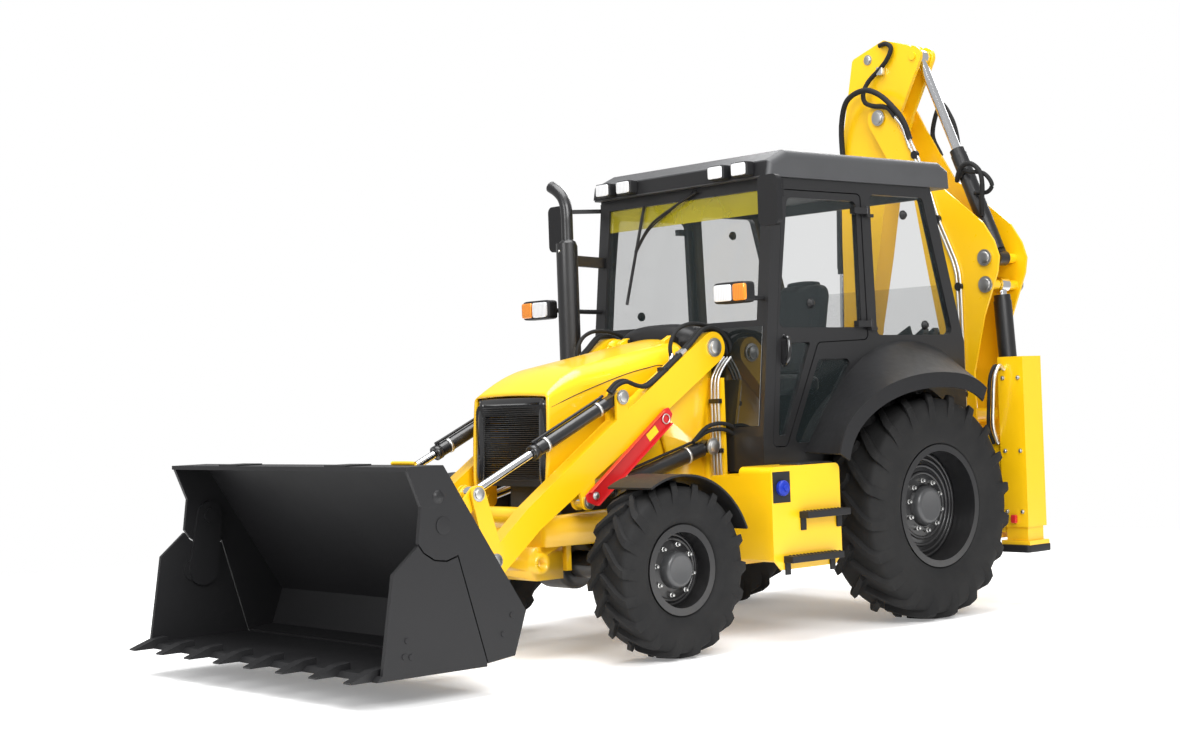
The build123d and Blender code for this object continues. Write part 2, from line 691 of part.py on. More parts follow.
def loader_rams(nodes):
    middle = (ARM_INNER + ARM_OUTER) / 2
    sets = [("lift", LIFT_BASE, LIFT_EYE, LIFT_BARREL, 52, 48, 28, LIFT_ROD_START),
            ("tilt", TILT_BASE, LEVER_TOP, TILT_BARREL, 100, 40, 24, TILT_ROD_START)]
    for name, base, tip, length, neck, radius, rod, start in sets:
        place = ram_place(base, tip, middle)
        nodes[f"{name}_barrels"] = pair(place * ram_barrel(length, neck, radius, rod, 40, 56, PIN_R))
        nodes[f"{name}_rods"] = pair(place * ram_rod(start, span(base, tip), rod, 40, 52))


def link_end():
    """The bucket's upper pin, which makes a parallelogram with the lever."""
    return (BUCKET_PIN[0] + LEVER_TOP[0] - LEVER_PIVOT[0], BUCKET_PIN[1] + LEVER_TOP[1] - LEVER_PIVOT[1])


LEVER_GAP = 4
LEVER_WALL = 14
LINK_WALL = 16
LINK_INSET = 4


def tilt_lever():
    """Two plates outside an arm on one pivot pin."""
    inner, outer = ARM_INNER - LEVER_GAP, ARM_OUTER + LEVER_GAP
    plate = hull((LEVER_PIVOT, 60), (LEVER_TOP, 48))
    body = side(plate, inner - LEVER_WALL, inner) + side(plate, outer, outer + LEVER_WALL)
    body -= pin_y(LEVER_TOP, PIN_R + FIT, inner - 50, outer + 50)
    return body + pin_y(LEVER_PIVOT, PIN_R, inner - LEVER_WALL, outer + LEVER_WALL)


def tilt_link():
    """Two bars from a lever's top to the bucket, with a stub for the lever on each."""
    bars = []
    plate = hull((LEVER_TOP, 44), (link_end(), 44))
    for y, reach in ((ARM_INNER + LINK_INSET, ARM_INNER - LEVER_GAP - LEVER_WALL),
                     (ARM_OUTER - LINK_INSET - LINK_WALL, ARM_OUTER + LEVER_GAP + LEVER_WALL)):
        bar = side(plate, y, y + LINK_WALL) - pin_y(link_end(), PIN_R + FIT, y - 1, y + LINK_WALL + 1)
        low, high = sorted((reach, y + LINK_WALL / 2))
        bars.append(bar + pin_y(LEVER_TOP, PIN_R, low, high))
    return bars


EAR_WALL = 24
EAR_GAP = 6
BUCKET_BACK = [(3898, 1164), (3408, 404), (3489, 185), (3660, 165)]


def bucket_back():
    """Back sheet, top lip, upper side plates and the ears that the arms and links hold."""
    half = BUCKET_WIDTH / 2
    sheet = outline(BUCKET_BACK + [(3660, 185), (3503, 205), (3430, 404), (3908, 1146), (4121, 1142), (4121, 1164)])
    body = side(sheet, -half, half)
    angles = (-120, -95, -70, -45, -26)
    nose = [(JAW_PIVOT[0] + JAW_NOSE_R * cos(radians(a)), JAW_PIVOT[1] + JAW_NOSE_R * sin(radians(a))) for a in angles]
    cheek = side(outline(BUCKET_BACK + nose + [(4040, 967), (4121, 1164)]), half - BUCKET_WALL, half)
    cheek += pin_y(JAW_PIVOT, 40, half - BUCKET_WALL - 34, half)
    top = link_end()
    ear = hull((BUCKET_PIN, 62), (top, 52), ((3403, 380), 12), ((3582, 690), 12))
    for y in (ARM_INNER - EAR_GAP - LEVER_GAP - LEVER_WALL - EAR_WALL, ARM_OUTER + EAR_GAP + LEVER_GAP + LEVER_WALL):
        cheek += side(ear, y, y + EAR_WALL)
    for point, radius in ((BUCKET_PIN, BUCKET_PIN_R), (top, PIN_R)):
        cheek += pin_y(point, radius, ARM_INNER - 50, ARM_OUTER + 50)
    for y in (-620, 430):
        body += block(3960, 4121, y, y + 190, 1160, 1172)
    return body + cheek + other_side(cheek)


def bucket_jaw():
    """Front jaw: floor, cutting edge with teeth, side skins and the arms to the jaw pivot."""
    half = BUCKET_WIDTH / 2
    rear = 3660 + SEAM
    floor = side(outline([(rear, BUCKET_FLOOR), (EDGE_X + 30, BUCKET_FLOOR), (EDGE_X, BUCKET_FLOOR + 26),
                          (rear, BUCKET_FLOOR + 26)]), -half, half)
    ring_r = JAW_NOSE_R + SEAM
    arc = [(JAW_PIVOT[0] + ring_r * cos(radians(a)), JAW_PIVOT[1] + ring_r * sin(radians(a)))
           for a in (-117, -95, -70, -45, -30)]
    skin = outline([(rear, BUCKET_FLOOR)] + [(rear + 6, BUCKET_FLOOR + 40)] + arc
                   + [(4219, 652), (EDGE_X, BUCKET_FLOOR)])
    cheek = side(skin, half - BUCKET_WALL, half)
    inner = half - BUCKET_WALL
    cheek += side(hull((JAW_PIVOT, 80), ((3960, 560), 90)), inner - 24, inner - 4)
    cheek += side(hull(((3960, 560), 60), ((4020, 560), 60)), inner - 10, inner + 1)
    cheek -= pin_y(JAW_PIVOT, 40 + SLIDE_FIT, inner - 30, inner + 1)
    jaw = floor + cheek + other_side(cheek)
    pitch = (BUCKET_WIDTH - 160) / (TOOTH_COUNT - 1)
    for k in range(TOOTH_COUNT):
        y = -half + 80 + k * pitch
        jaw += side(outline([(EDGE_X - 60, BUCKET_FLOOR + 26), (EDGE_X - 60, BUCKET_FLOOR + 60),
                             (EDGE_X + 20, BUCKET_FLOOR + 52), (TOOTH_TIP_X, BUCKET_FLOOR + 8),
                             (TOOTH_TIP_X, BUCKET_FLOOR), (EDGE_X, BUCKET_FLOOR)]), y - 32, y + 32)
    return jaw


def hoe_point(point):
    """A place in the backhoe's plane as y and z."""
    return (SLEW_Y - point[0], point[1])


def on_dipper(point):
    """A place given along (s) and out from (t) the dipper, as a place in the backhoe's plane."""
    c, s = cos(radians(DIPPER_TILT)), sin(radians(DIPPER_TILT))
    return (DIPPER_PIN[0] + point[0] * s + point[1] * c, DIPPER_PIN[1] - point[0] * c + point[1] * s)


def hoe_plate(face_points, x0, x1, radius=0):
    return across(outline([hoe_point(p) for p in face_points], radius), SLEW_X + x0, SLEW_X + x1)


def hoe_hull(circles, x0, x1):
    return across(hull(*[(hoe_point(p), r) for p, r in circles]), SLEW_X + x0, SLEW_X + x1)


def hoe_pin(point, radius, x0, x1):
    return pin_x(hoe_point(point), radius, SLEW_X + x0, SLEW_X + x1)


def both_x(make, x0, x1):
    """The same plate on both sides of the backhoe's plane."""
    return make(x0, x1) + make(-x1, -x0)


def rear_frame():
    """Slide rails for the backhoe, their webs and the two stabiliser housings."""
    low, high = 480, 1080
    inner = LEG_Y - LEG_SIZE / 2 - LEG_WALL
    frame = block(FRAME_REAR, RAIL_REAR, -inner, inner, high - 100, high)
    frame += block(FRAME_REAR, RAIL_REAR, -inner, inner, low, low + 120)
    for y in (-inner, -RAIL_OUTER, RAIL_INNER, inner - 60):
        frame += block(RAIL_REAR - 40, RAIL_REAR, y, y + 60, low, high)
    outer = LEG_SIZE / 2 + LEG_WALL
    hole = LEG_SIZE / 2
    for y in (-LEG_Y, LEG_Y):
        frame += block(LEG_X - outer, LEG_X + outer, y - outer, y + outer, 520, 1640)
        frame -= block(LEG_X - hole, LEG_X + hole, y - hole, y + hole, 500, 1624)
    return frame


def stabiliser(y):
    """Sliding leg with its ground pad."""
    half = LEG_SIZE / 2 - FIT
    leg = block(LEG_X - half, LEG_X + half, y - half, y + half, LEG_LOW, LEG_HIGH)
    pad = block(LEG_X - 108, LEG_X + 108, y - 112, y + 112, PAD_LOW, LEG_LOW)
    return leg + chamfer(pad.faces().sort_by(Axis.Z)[0].edges(), 20)


def carriage():
    """Plate hooked over the rails, with the two bearing arms of the slew post."""
    low, high = 480, 1080
    half = 260
    y0, y1 = SLEW_Y - half, SLEW_Y + half
    plate = block(FRAME_REAR - 60, FRAME_REAR - SLIDE_FIT, y0, y1, low - 40, high + 40)
    plate += block(FRAME_REAR - 60, RAIL_REAR, y0, y1, high + SLIDE_FIT, high + 40)
    plate += block(FRAME_REAR - 60, RAIL_REAR, y0, y1, low - 40, low - SLIDE_FIT)
    for z in BEARING_Z:
        bearing = make_hull(disc((SLEW_X, SLEW_Y), 95).edges()
                            + disc((FRAME_REAR - 60, SLEW_Y - 110), 10).edges()
                            + disc((FRAME_REAR - 60, SLEW_Y + 110), 10).edges())
        bearing = Pos(0, 0, z) * extrude(bearing, BEARING_WALL)
        plate += bearing & block(SLEW_X - 200, FRAME_REAR - 20, y0, y1, z, z + BEARING_WALL)
    return plate - post(SLEW_X, SLEW_Y, SLEW_PIN_R + FIT, low - 41, high)


BEARING_Z = (470, 850)
BEARING_WALL = 80
SLEW_PIN_R = 45
FORK_INNER = 110
FORK_OUTER = 140


def kingpost():
    """Slew post between the bearings, with the boom's fork and the head for the boom ram."""
    low, high = BEARING_Z[0] + BEARING_WALL + SLIDE_FIT, BEARING_Z[1] - SLIDE_FIT
    top = BEARING_Z[1] + BEARING_WALL + SLIDE_FIT
    body = post(SLEW_X, SLEW_Y, 82, low, high)
    body += post(SLEW_X, SLEW_Y, SLEW_PIN_R, BEARING_Z[0] - 10, top + 20)
    body += post(SLEW_X, SLEW_Y, 84, top, top + 20)
    body += both_x(lambda a, b: hoe_hull([((0, 660), 80), (BOOM_FOOT, 80)], a, b), FORK_INNER, FORK_OUTER)
    body += block(SLEW_X - FORK_OUTER, SLEW_X + FORK_OUTER, SLEW_Y - 60, SLEW_Y + 60, 620, 760)
    body += both_x(lambda a, b: hoe_hull([((0, 1000), 64), (RAM_BASE, 58)], a, b) , 70, 95)
    body += block(SLEW_X - 95, SLEW_X + 95, SLEW_Y - 60, SLEW_Y + 60, top, top + 34)
    body += hoe_pin(RAM_BASE, PIN_R, -100, 100)
    return body + hoe_pin(BOOM_FOOT, 40, -BOOM_HALF - 12, BOOM_HALF + 12)


BOOM_BACK = [(152, 700), (160, 1550), (60, 1930), (-65, 2230), (-82, 2335), (-45, 2445), (45, 2580), (370, 2845),
             (505, 2935), (830, 3450)]
BOOM_FRONT = [(1010, 3350), (640, 2830), (545, 2330), (400, 1600), (348, 700)]


def boom():
    """Two humped side plates joined by a front web and cross tubes, open for the rams and the dipper."""
    plate = both_x(lambda a, b: hoe_plate(BOOM_BACK + BOOM_FRONT, a, b, 24)
                   + hoe_hull([(BOOM_FOOT, 98), ((255, 900), 90)], a, b)
                   + hoe_hull([(DIPPER_PIN, 108), ((760, 3130), 100)], a, b),
                   BOOM_HALF - BOOM_WALL, BOOM_HALF)
    web = [(392, 1580), (538, 2330), (614, 2718), (598, 2722), (520, 2334), (374, 1584)]
    plate += hoe_plate(web, -BOOM_HALF + 1, BOOM_HALF - 1)
    plate += hoe_pin((250, 1250), 50, -BOOM_HALF + 1, BOOM_HALF - 1)
    plate += hoe_pin((400, 2400), 45, -BOOM_HALF + 1, BOOM_HALF - 1)
    plate += hoe_pin(DIPPER_RAM_BASE, 34, -BOOM_HALF - 10, BOOM_HALF + 10)
    plate += both_x(lambda a, b: hoe_pin(RAM_EYE, 34, a, b), 48, BOOM_HALF + 10)
    plate += hoe_pin(DIPPER_PIN, 40, -BOOM_HALF - 12, BOOM_HALF + 12)
    return plate - hoe_pin(BOOM_FOOT, 40 + FIT, -BOOM_HALF - 1, BOOM_HALF + 1)


def dipper():
    """Deep box beam with a pair of head plates for the ram, a hub and lugs for the bucket ram."""
    def local(points):
        return [on_dipper(p) for p in points]
    head = [(-535, -150), (-560, 120), (-400, 395), (250, 390), (150, -90), (0, -110)]
    beam = [(60, 95), (-300, 220), (-330, 392), (250, 390), (DIPPER_LENGTH - 1150, 318), (DIPPER_LENGTH - 850, 262),
            (DIPPER_LENGTH + 20, 76),
            (DIPPER_LENGTH + 75, 0), (DIPPER_LENGTH + 20, -74), (DIPPER_LENGTH - 850, -90),
            (150, -80)]
    body = hoe_plate(local(beam), -DIPPER_HALF, DIPPER_HALF, 20)
    body += both_x(lambda a, b: hoe_plate(local(head), a, b, 40)
                   + hoe_hull([(on_dipper(DIPPER_EYE), 72), (DIPPER_PIN, 100)], a, b), 58, DIPPER_HALF)
    body += hoe_pin(DIPPER_PIN, 70, -BOOM_HALF + BOOM_WALL + FIT, BOOM_HALF - BOOM_WALL - FIT)
    lug = [(on_dipper((HOE_RAM_BASE[0], HOE_RAM_BASE[1] - 120)), 90), (on_dipper(HOE_RAM_BASE), 48)]
    body += both_x(lambda a, b: hoe_hull(lug, a, b), 58, DIPPER_HALF)
    body += hoe_pin(on_dipper(HOE_RAM_BASE), PIN_R, -DIPPER_HALF - 8, DIPPER_HALF + 8)
    body += both_x(lambda a, b: hoe_pin(on_dipper(DIPPER_EYE), PIN_R, a, b), 58, DIPPER_HALF + 10)
    for point, radius in ((DIPPER_PIN, 40), (on_dipper(HOE_LEVER_PIVOT), PIN_R), (on_dipper((DIPPER_LENGTH, 0)), PIN_R)):
        body -= hoe_pin(point, radius + FIT, -BOOM_HALF, BOOM_HALF)
    return body


def hoe_ram_place(base, tip):
    """A frame with x along a ram in the backhoe's plane, and y along its pins."""
    a, b = hoe_point(base), hoe_point(tip)
    axis = Vector(0, b[0] - a[0], b[1] - a[1]).normalized()
    return Plane((SLEW_X, *a), x_dir=axis, z_dir=axis.cross(Vector(1, 0, 0)))


def hoe_rod_eye():
    """The bucket ram's eye at the top of the hoe lever."""
    return on_dipper((HOE_LEVER_PIVOT[0] + HOE_LEVER * cos(radians(HOE_LEVER_ANGLE)),
                      HOE_LEVER_PIVOT[1] + HOE_LEVER * sin(radians(HOE_LEVER_ANGLE))))


def hoe_link_end():
    """The link's pin on the hoe bucket."""
    return on_dipper((DIPPER_LENGTH + HOE_LINK_PIN * cos(radians(HOE_LINK_ANGLE)),
                      HOE_LINK_PIN * sin(radians(HOE_LINK_ANGLE))))


def hoe_rams(nodes):
    sets = {
        "boom": (RAM_BASE, RAM_EYE, BOOM_RAM_BARREL, 70, 62, 36, 52, BOOM_ROD_START, PIN_R, 100, 84),
        "dipper": (DIPPER_RAM_BASE, on_dipper(DIPPER_EYE), DIPPER_RAM_BARREL, 60, 58, 33, 52, DIPPER_ROD_START, 34,
                   100, 100),
        "hoe": (on_dipper(HOE_RAM_BASE), hoe_rod_eye(), HOE_RAM_BARREL, 80, 46, 27, 44, HOE_ROD_START, PIN_R,
                100, 160),
    }
    for name, (base, tip, length, neck, radius, rod, eye, start, pin, base_width, width) in sets.items():
        place = hoe_ram_place(base, tip)
        nodes[f"{name}_barrel"] = [place * ram_barrel(length, neck, radius, rod, eye, base_width, pin)]
        nodes[f"{name}_rod"] = [place * ram_rod(start, span(base, tip), rod, eye, width)]


BOOM_RAM_BARREL = 960
BOOM_ROD_START = 70
DIPPER_RAM_BARREL = 860
DIPPER_ROD_START = 760
HOE_RAM_BARREL = 790
HOE_ROD_START = 690
HOE_LINK_X = 88
HOE_LEVER_X = 104
HOE_EAR_X = 120
HOE_PLATE = 12


def hoe_lever():
    """Two lever plates on one pin through the dipper."""
    pivot, top = on_dipper(HOE_LEVER_PIVOT), hoe_rod_eye()
    body = both_x(lambda a, b: hoe_hull([(pivot, 48), (top, 40)], a, b), HOE_LEVER_X, HOE_LEVER_X + HOE_PLATE)
    body -= hoe_pin(top, PIN_R - 4 + FIT, -200, 200)
    return body + hoe_pin(pivot, PIN_R, -HOE_LEVER_X - HOE_PLATE, HOE_LEVER_X + HOE_PLATE)


def hoe_link():
    """Two bars from the lever to the hoe bucket, each with its stub for the lever."""
    top, low = hoe_rod_eye(), hoe_link_end()
    bars = []
    for sign in (-1, 1):
        x0, x1 = sorted((sign * HOE_LINK_X, sign * (HOE_LINK_X + HOE_PLATE)))
        p0, p1 = sorted((sign * HOE_LINK_X, sign * (HOE_LEVER_X + HOE_PLATE)))
        bar = hoe_hull([(top, 40), (low, 40)], x0, x1) - hoe_pin(low, PIN_R, x0 - 1, x1 + 1)
        bars.append(bar + hoe_pin(top, PIN_R - 4, p0, p1))
    return bars


def hoe_bucket():
    """Trenching bucket: curved back, side plates, teeth and the ears for dipper and link."""
    d = (DIPPER_LENGTH, 0)

    def local(radius, angle):
        return on_dipper((d[0] + radius * cos(radians(angle)), d[1] + radius * sin(radians(angle))))
    curve = ((330, -42), (430, -46), (520, -55), (590, -68), (640, -84), (690, -100), (740, -114))
    back = [local(r, a) for r, a in curve]
    inner = [local(r - 18, a) for r, a in curve]
    near = local(130, -100)
    half = HOE_WIDTH / 2
    cheek = both_x(lambda a, b: hoe_plate(back + [local(740, -125), near], a, b), half - 16, half)
    body = cheek + hoe_plate(back + list(reversed(inner)), -half + 1, half - 1)
    body += hoe_plate([local(330, -42), near, local(148, -102), local(330, -46)], -half + 1, half - 1)
    ear = [(on_dipper(d), 60), (hoe_link_end(), 52), (local(318, -44), 12), (local(150, -92), 12)]
    body += both_x(lambda a, b: hoe_hull(ear, a, b), HOE_EAR_X, HOE_EAR_X + 22)
    body += hoe_pin(on_dipper(d), PIN_R, -HOE_EAR_X - 22, HOE_EAR_X + 22)
    body += both_x(lambda a, b: hoe_pin(hoe_link_end(), PIN_R - 4, a, b), HOE_LINK_X + HOE_PLATE + 2, HOE_EAR_X + 22)
    tooth = [local(740, -113), local(722, -113), local(722, -119), local(830, -121), local(836, -119.5)]
    for k in range(5):
        x = -half + 50 + k * (HOE_WIDTH - 100) / 4
        body += hoe_plate(tooth, x - 28, x + 28)
    return body


def build():
    """All pieces by name."""
    nodes = {}
    wheels(nodes)
    nodes["main_frame"] = [main_frame()]
    nodes["rear_frame"] = [rear_frame()]
    nodes["engine_block"] = [engine_block()]
    nodes["front_axle"] = [front_axle()]
    nodes["rear_axle"] = [rear_axle()]
    for name, piece in (("left", knuckle()), ("right", other_side(knuckle()))):
        nodes[f"knuckle_{name}"] = [piece]
    for name, piece in (("left", front_guard()), ("right", other_side(front_guard()))):
        nodes[f"front_guard_{name}"] = [piece]
    nodes["hood"] = [hood()]
    nodes["grille"] = [grille()]
    nodes["cowl"] = [cowl()]
    nodes["cab_frame"] = [cab_frame()]
    nodes["cab_roof"] = [cab_roof()]
    nodes["cab_glass"] = cab_glass()
    nodes["rear_guards"] = pair(rear_guard())
    nodes["step_boxes"] = pair(step_box())
    for name, flip in (("left", lambda s: s), ("right", other_side)):
        nodes[f"door_{name}"] = [flip(door())]
        nodes[f"door_glass_{name}"] = [flip(pane) for pane in door_glass()]
    nodes["exhaust"] = [exhaust()]
    nodes["lamps"] = pair(headlamps()) + work_lamps()
    nodes["mirrors"] = pair(mirror_arm())
    nodes["seat"] = seat()
    nodes["cab_controls"] = [seat_base(), console()]
    nodes["loader_arms"] = [loader_arms()]
    nodes["safety_strut"] = [safety_strut()]
    loader_rams(nodes)
    nodes["tilt_levers"] = pair(tilt_lever())
    nodes["tilt_links"] = [piece for bar in tilt_link() for piece in pair(bar)]
    nodes["bucket_back"] = [bucket_back()]
    nodes["bucket_jaw"] = [bucket_jaw()]
    nodes["carriage"] = [carriage()]
    nodes["kingpost"] = [kingpost()]
    nodes["boom"] = [boom()]
    nodes["dipper"] = [dipper()]
    hoe_rams(nodes)
    nodes["hoe_lever"] = [hoe_lever()]
    nodes["hoe_link"] = hoe_link()
    nodes["hoe_bucket"] = [hoe_bucket()]
    nodes["stabiliser_left"] = [stabiliser(LEG_Y)]
    nodes["stabiliser_right"] = [stabiliser(-LEG_Y)]
    return nodes


def main():
    os.makedirs("parts", exist_ok=True)
    for name, pieces in build().items():
        solids = [solid for piece in pieces for solid in piece.solids()]
        shape = solids[0] if len(solids) == 1 else Compound(solids)
        export_step(Pos(-MIDDLE_X, 0, 0) * shape, f"parts/{name}.step")
        print(name, len(solids))


if __name__ == "__main__":
    main()
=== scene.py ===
import math
import bmesh
import bpy
import numpy as np
from mathutils import Matrix, Vector


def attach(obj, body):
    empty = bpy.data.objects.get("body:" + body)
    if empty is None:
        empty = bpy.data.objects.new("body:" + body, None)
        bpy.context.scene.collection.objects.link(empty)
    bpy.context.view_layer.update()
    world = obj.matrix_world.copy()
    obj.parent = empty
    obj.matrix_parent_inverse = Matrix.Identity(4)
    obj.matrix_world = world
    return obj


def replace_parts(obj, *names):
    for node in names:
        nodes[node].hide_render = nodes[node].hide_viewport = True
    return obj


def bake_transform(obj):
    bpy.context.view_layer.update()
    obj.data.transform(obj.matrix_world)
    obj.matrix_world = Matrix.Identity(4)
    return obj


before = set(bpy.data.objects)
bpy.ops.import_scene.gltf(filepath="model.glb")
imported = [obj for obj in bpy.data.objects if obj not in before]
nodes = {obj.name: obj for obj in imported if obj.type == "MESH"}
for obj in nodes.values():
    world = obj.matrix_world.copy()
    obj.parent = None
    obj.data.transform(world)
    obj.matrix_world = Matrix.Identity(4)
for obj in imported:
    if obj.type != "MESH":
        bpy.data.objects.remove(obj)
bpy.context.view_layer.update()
midX = 1.395  # the sizes below count x from the rear axle, the model from its middle
hands = (("left", 1), ("right", -1))
sides = (("Left", 1), ("Right", -1))


def at(x, y, z):  # metres from the rear axle on the ground, to the model's own frame
    return np.array([x - midX, y, z], float)


def mm(points, sign=1):  # the same for places in millimetres, on the left or, with sign -1, on the right
    return [at(x / 1000, sign * y / 1000, z / 1000) for x, y, z in points]


def hoeAt(u, z, w=0.0):  # a place in the backhoe's plane: u out from the slew post, w across it
    return at(-1.380 + w, 0.620 - u, z)


def hoeMm(points, sign=1):  # the same in millimetres
    return [hoeAt(u / 1000, z / 1000, sign * w / 1000) for u, z, w in points]


def box(u0, v0, u1, v1):  # the corners of a rectangle given in millimetres
    return [(u / 1000, v / 1000) for u, v in ((u0, v0), (u1, v0), (u1, v1), (u0, v1))]


# shader expressions: a Wire is a socket, and arithmetic on it adds Math nodes
class Wire:
    def __init__(self, tree, socket):
        self.tree = tree
        self.socket = socket

    def maths(self, kind, other=None, flip=False, clamp=False):
        n = self.tree.nodes.new("ShaderNodeMath")
        n.operation = kind
        n.use_clamp = clamp
        for slot, value in zip(n.inputs, (other, self) if flip else (self, other)):
            if isinstance(value, Wire):
                self.tree.links.new(value.socket, slot)
            elif value is not None:
                slot.default_value = value
        return Wire(self.tree, n.outputs[0])

    def __add__(self, other): return self.maths("ADD", other)
    def __radd__(self, other): return self.maths("ADD", other)
    def __sub__(self, other): return self.maths("SUBTRACT", other)
    def __rsub__(self, other): return self.maths("SUBTRACT", other, True)
    def __mul__(self, other): return self.maths("MULTIPLY", other)
    def __rmul__(self, other): return self.maths("MULTIPLY", other)
    def held(self): return self.maths("ADD", 0.0, clamp=True)


class Finish:
    def __init__(self, name, **fixed):
        self.material = bpy.data.materials.new(name)
        self.material.use_nodes = True
        self.tree = self.material.node_tree
        self.shader = self.tree.nodes["Principled BSDF"]
        self.place = self.node("ShaderNodeTexCoord", out="Object")
        for socket, value in fixed.items():
            self.shader.inputs[socket.replace("_", " ")].default_value = value

    # any node: its type, settings set first, then values or links by socket name or number
    def node(self, kind, settings=None, inputs=None, out=0):
        n = self.tree.nodes.new(kind)
        for key, value in (settings or {}).items():
            setattr(n, key, value)
        for key, value in (inputs or {}).items():
            slot = n.inputs[key]
            if isinstance(value, Wire):
                self.tree.links.new(value.socket, slot)
            else:
                slot.default_value = value
        return Wire(self.tree, n.outputs[out])

    def feed(self, socket, wire):
        self.tree.links.new(wire.socket, self.shader.inputs[socket])

    def noise(self, scale, detail=4.0, rough=0.55, stretch=(1, 1, 1)):
        where = self.node("ShaderNodeMapping", None, {"Vector": self.place, "Scale": stretch})
        values = {"Vector": where, "Scale": scale, "Detail": detail, "Roughness": rough}
        return self.node("ShaderNodeTexNoise", None, values)

    def wave(self, axis, scale, distortion):
        values = {"Vector": self.place, "Scale": scale, "Distortion": distortion}
        return self.node("ShaderNodeTexWave", {"bands_direction": axis}, values)

    def mix(self, share, low, high):
        return self.node("ShaderNodeMix", {"data_type": "RGBA"}, {0: share, 6: low, 7: high}, out=2)

    def bump(self, height, strength, distance):
        values = {"Strength": strength, "Distance": distance, "Height": height}
        self.feed("Normal", self.node("ShaderNodeBump", None, values))


def shade(colour, level=1.0):
    return tuple(min(1.0, level * c) for c in colour) + (1.0,)


# sprayed paint: a base tint that drifts a little, dust low down, and a faint orange peel
def paint(name, colour, dusty, rough=0.32, coat=0.35, dust=0.25, peel=0.12):
    f = Finish(name, Metallic=0.0, Coat_Roughness=0.12, IOR=1.5)
    drift = f.noise(1.7)
    f.shader.inputs["Coat Weight"].default_value = coat
    height = f.node("ShaderNodeSeparateXYZ", None, {0: f.place}, out=2)
    low = (0.9 - height).held() * f.noise(9.0, 6.0) * dust
    drifted = f.mix(drift, shade(colour, 0.93), shade(colour, 1.05))
    f.feed("Base Color", f.mix(low.held(), drifted, shade(dusty)))
    f.feed("Roughness", (rough + 0.12 * f.noise(14.0) - 0.06 + 0.5 * low).held())
    f.bump(f.noise(260.0, 2.0), peel, 0.0006)
    return f.material


# moulded plastic: fine leather-like grain and scuffs that lift the roughness
def plastic(name, colour, rough=0.55, grain=420.0):
    f = Finish(name, IOR=1.36)
    f.feed("Base Color", f.mix(f.noise(3.0), shade(colour, 0.85), shade(colour, 1.2)))
    f.feed("Roughness", (rough + 0.2 * f.noise(22.0, 5.0) - 0.1).held())
    f.bump(f.noise(grain, 3.0), 0.25, 0.0008)
    return f.material


# rubber: dull black with grey dust in noise patches and a stippled skin
def rubber(name, colour, dust):
    f = Finish(name, IOR=1.3)
    patch = f.noise(5.0, 8.0, 0.65)
    film = (patch * 1.6 - 0.55).held()
    f.feed("Base Color", f.mix(film * 0.45, shade(colour), shade(dust)))
    f.feed("Roughness", (0.62 + 0.25 * patch).held())
    f.bump(f.noise(150.0, 5.0), 0.3, 0.002)
    return f.material


# worked steel under thin black paint: long scratches along the dig direction and bare patches
def bucketSteel(name, colour, bare):
    f = Finish(name, IOR=1.42)
    streak = f.noise(7.0, 8.0, 0.7, (1.0, 9.0, 1.4))
    patch = f.noise(2.3, 6.0)
    worn = ((streak * patch) * 3.4 - 1.25).held()
    f.feed("Base Color", f.mix(worn * 0.35, shade(colour), shade(bare)))
    f.feed("Roughness", (0.42 + 0.22 * patch - 0.12 * worn).held())
    f.feed("Metallic", worn * 0.4)
    f.bump(f.noise(90.0, 4.0), 0.12, 0.001)
    return f.material


# metal with turning lines too fine to see singly
def metal(name, colour, rough, brushed=0.06, scale=120.0):
    f = Finish(name, Metallic=1.0)
    f.feed("Base Color", f.mix(f.noise(6.0), shade(colour, 0.9), shade(colour)))
    f.feed("Roughness", (rough + brushed * f.noise(scale, 3.0)).held())
    f.bump(f.noise(scale * 2.0, 2.0), 0.04, 0.0004)
    return f.material


def castIron(name, colour):
    f = Finish(name, Metallic=0.3)
    f.feed("Base Color", f.mix(f.noise(11.0, 6.0), shade(colour, 0.7), shade(colour, 1.3)))
    f.feed("Roughness", (0.6 + 0.25 * f.noise(30.0)).held())
    f.bump(f.noise(170.0, 5.0), 0.5, 0.002)
    return f.material


def clear(name, colour, alpha, rough=0.03):
    f = Finish(name, IOR=1.5, Coat_Weight=0.6, Alpha=alpha)
    f.feed("Base Color", f.mix(f.noise(1.2), shade(colour, 0.9), shade(colour)))
    f.feed("Roughness", (rough + 0.02 * f.noise(4.0)).held())
    return f.material


# lamp lens: clear prisms moulded in rows over a bright reflector
def lens(name, colour, rows=140.0):
    f = Finish(name, IOR=1.5, Coat_Weight=1.0, Metallic=0.25)
    wave = f.wave("Y", rows / 6.0, 0.0)
    f.feed("Base Color", f.mix(wave, shade(colour, 0.75), shade(colour)))
    f.feed("Roughness", 0.08 + 0.1 * wave)
    f.bump(wave, 0.35, 0.002)
    return f.material


# woven seat cloth: two crossed waves make the threads
def cloth(name, colour):
    f = Finish(name, Sheen_Weight=0.25)
    weave = f.wave("Y", 95.0, 1.5) * f.wave("Z", 95.0, 1.5)
    f.feed("Base Color", f.mix(weave, shade(colour, 0.6), shade(colour, 1.4)))
    f.feed("Roughness", 0.85 + 0.1 * weave)
    f.bump(weave, 0.4, 0.0012)
    return f.material


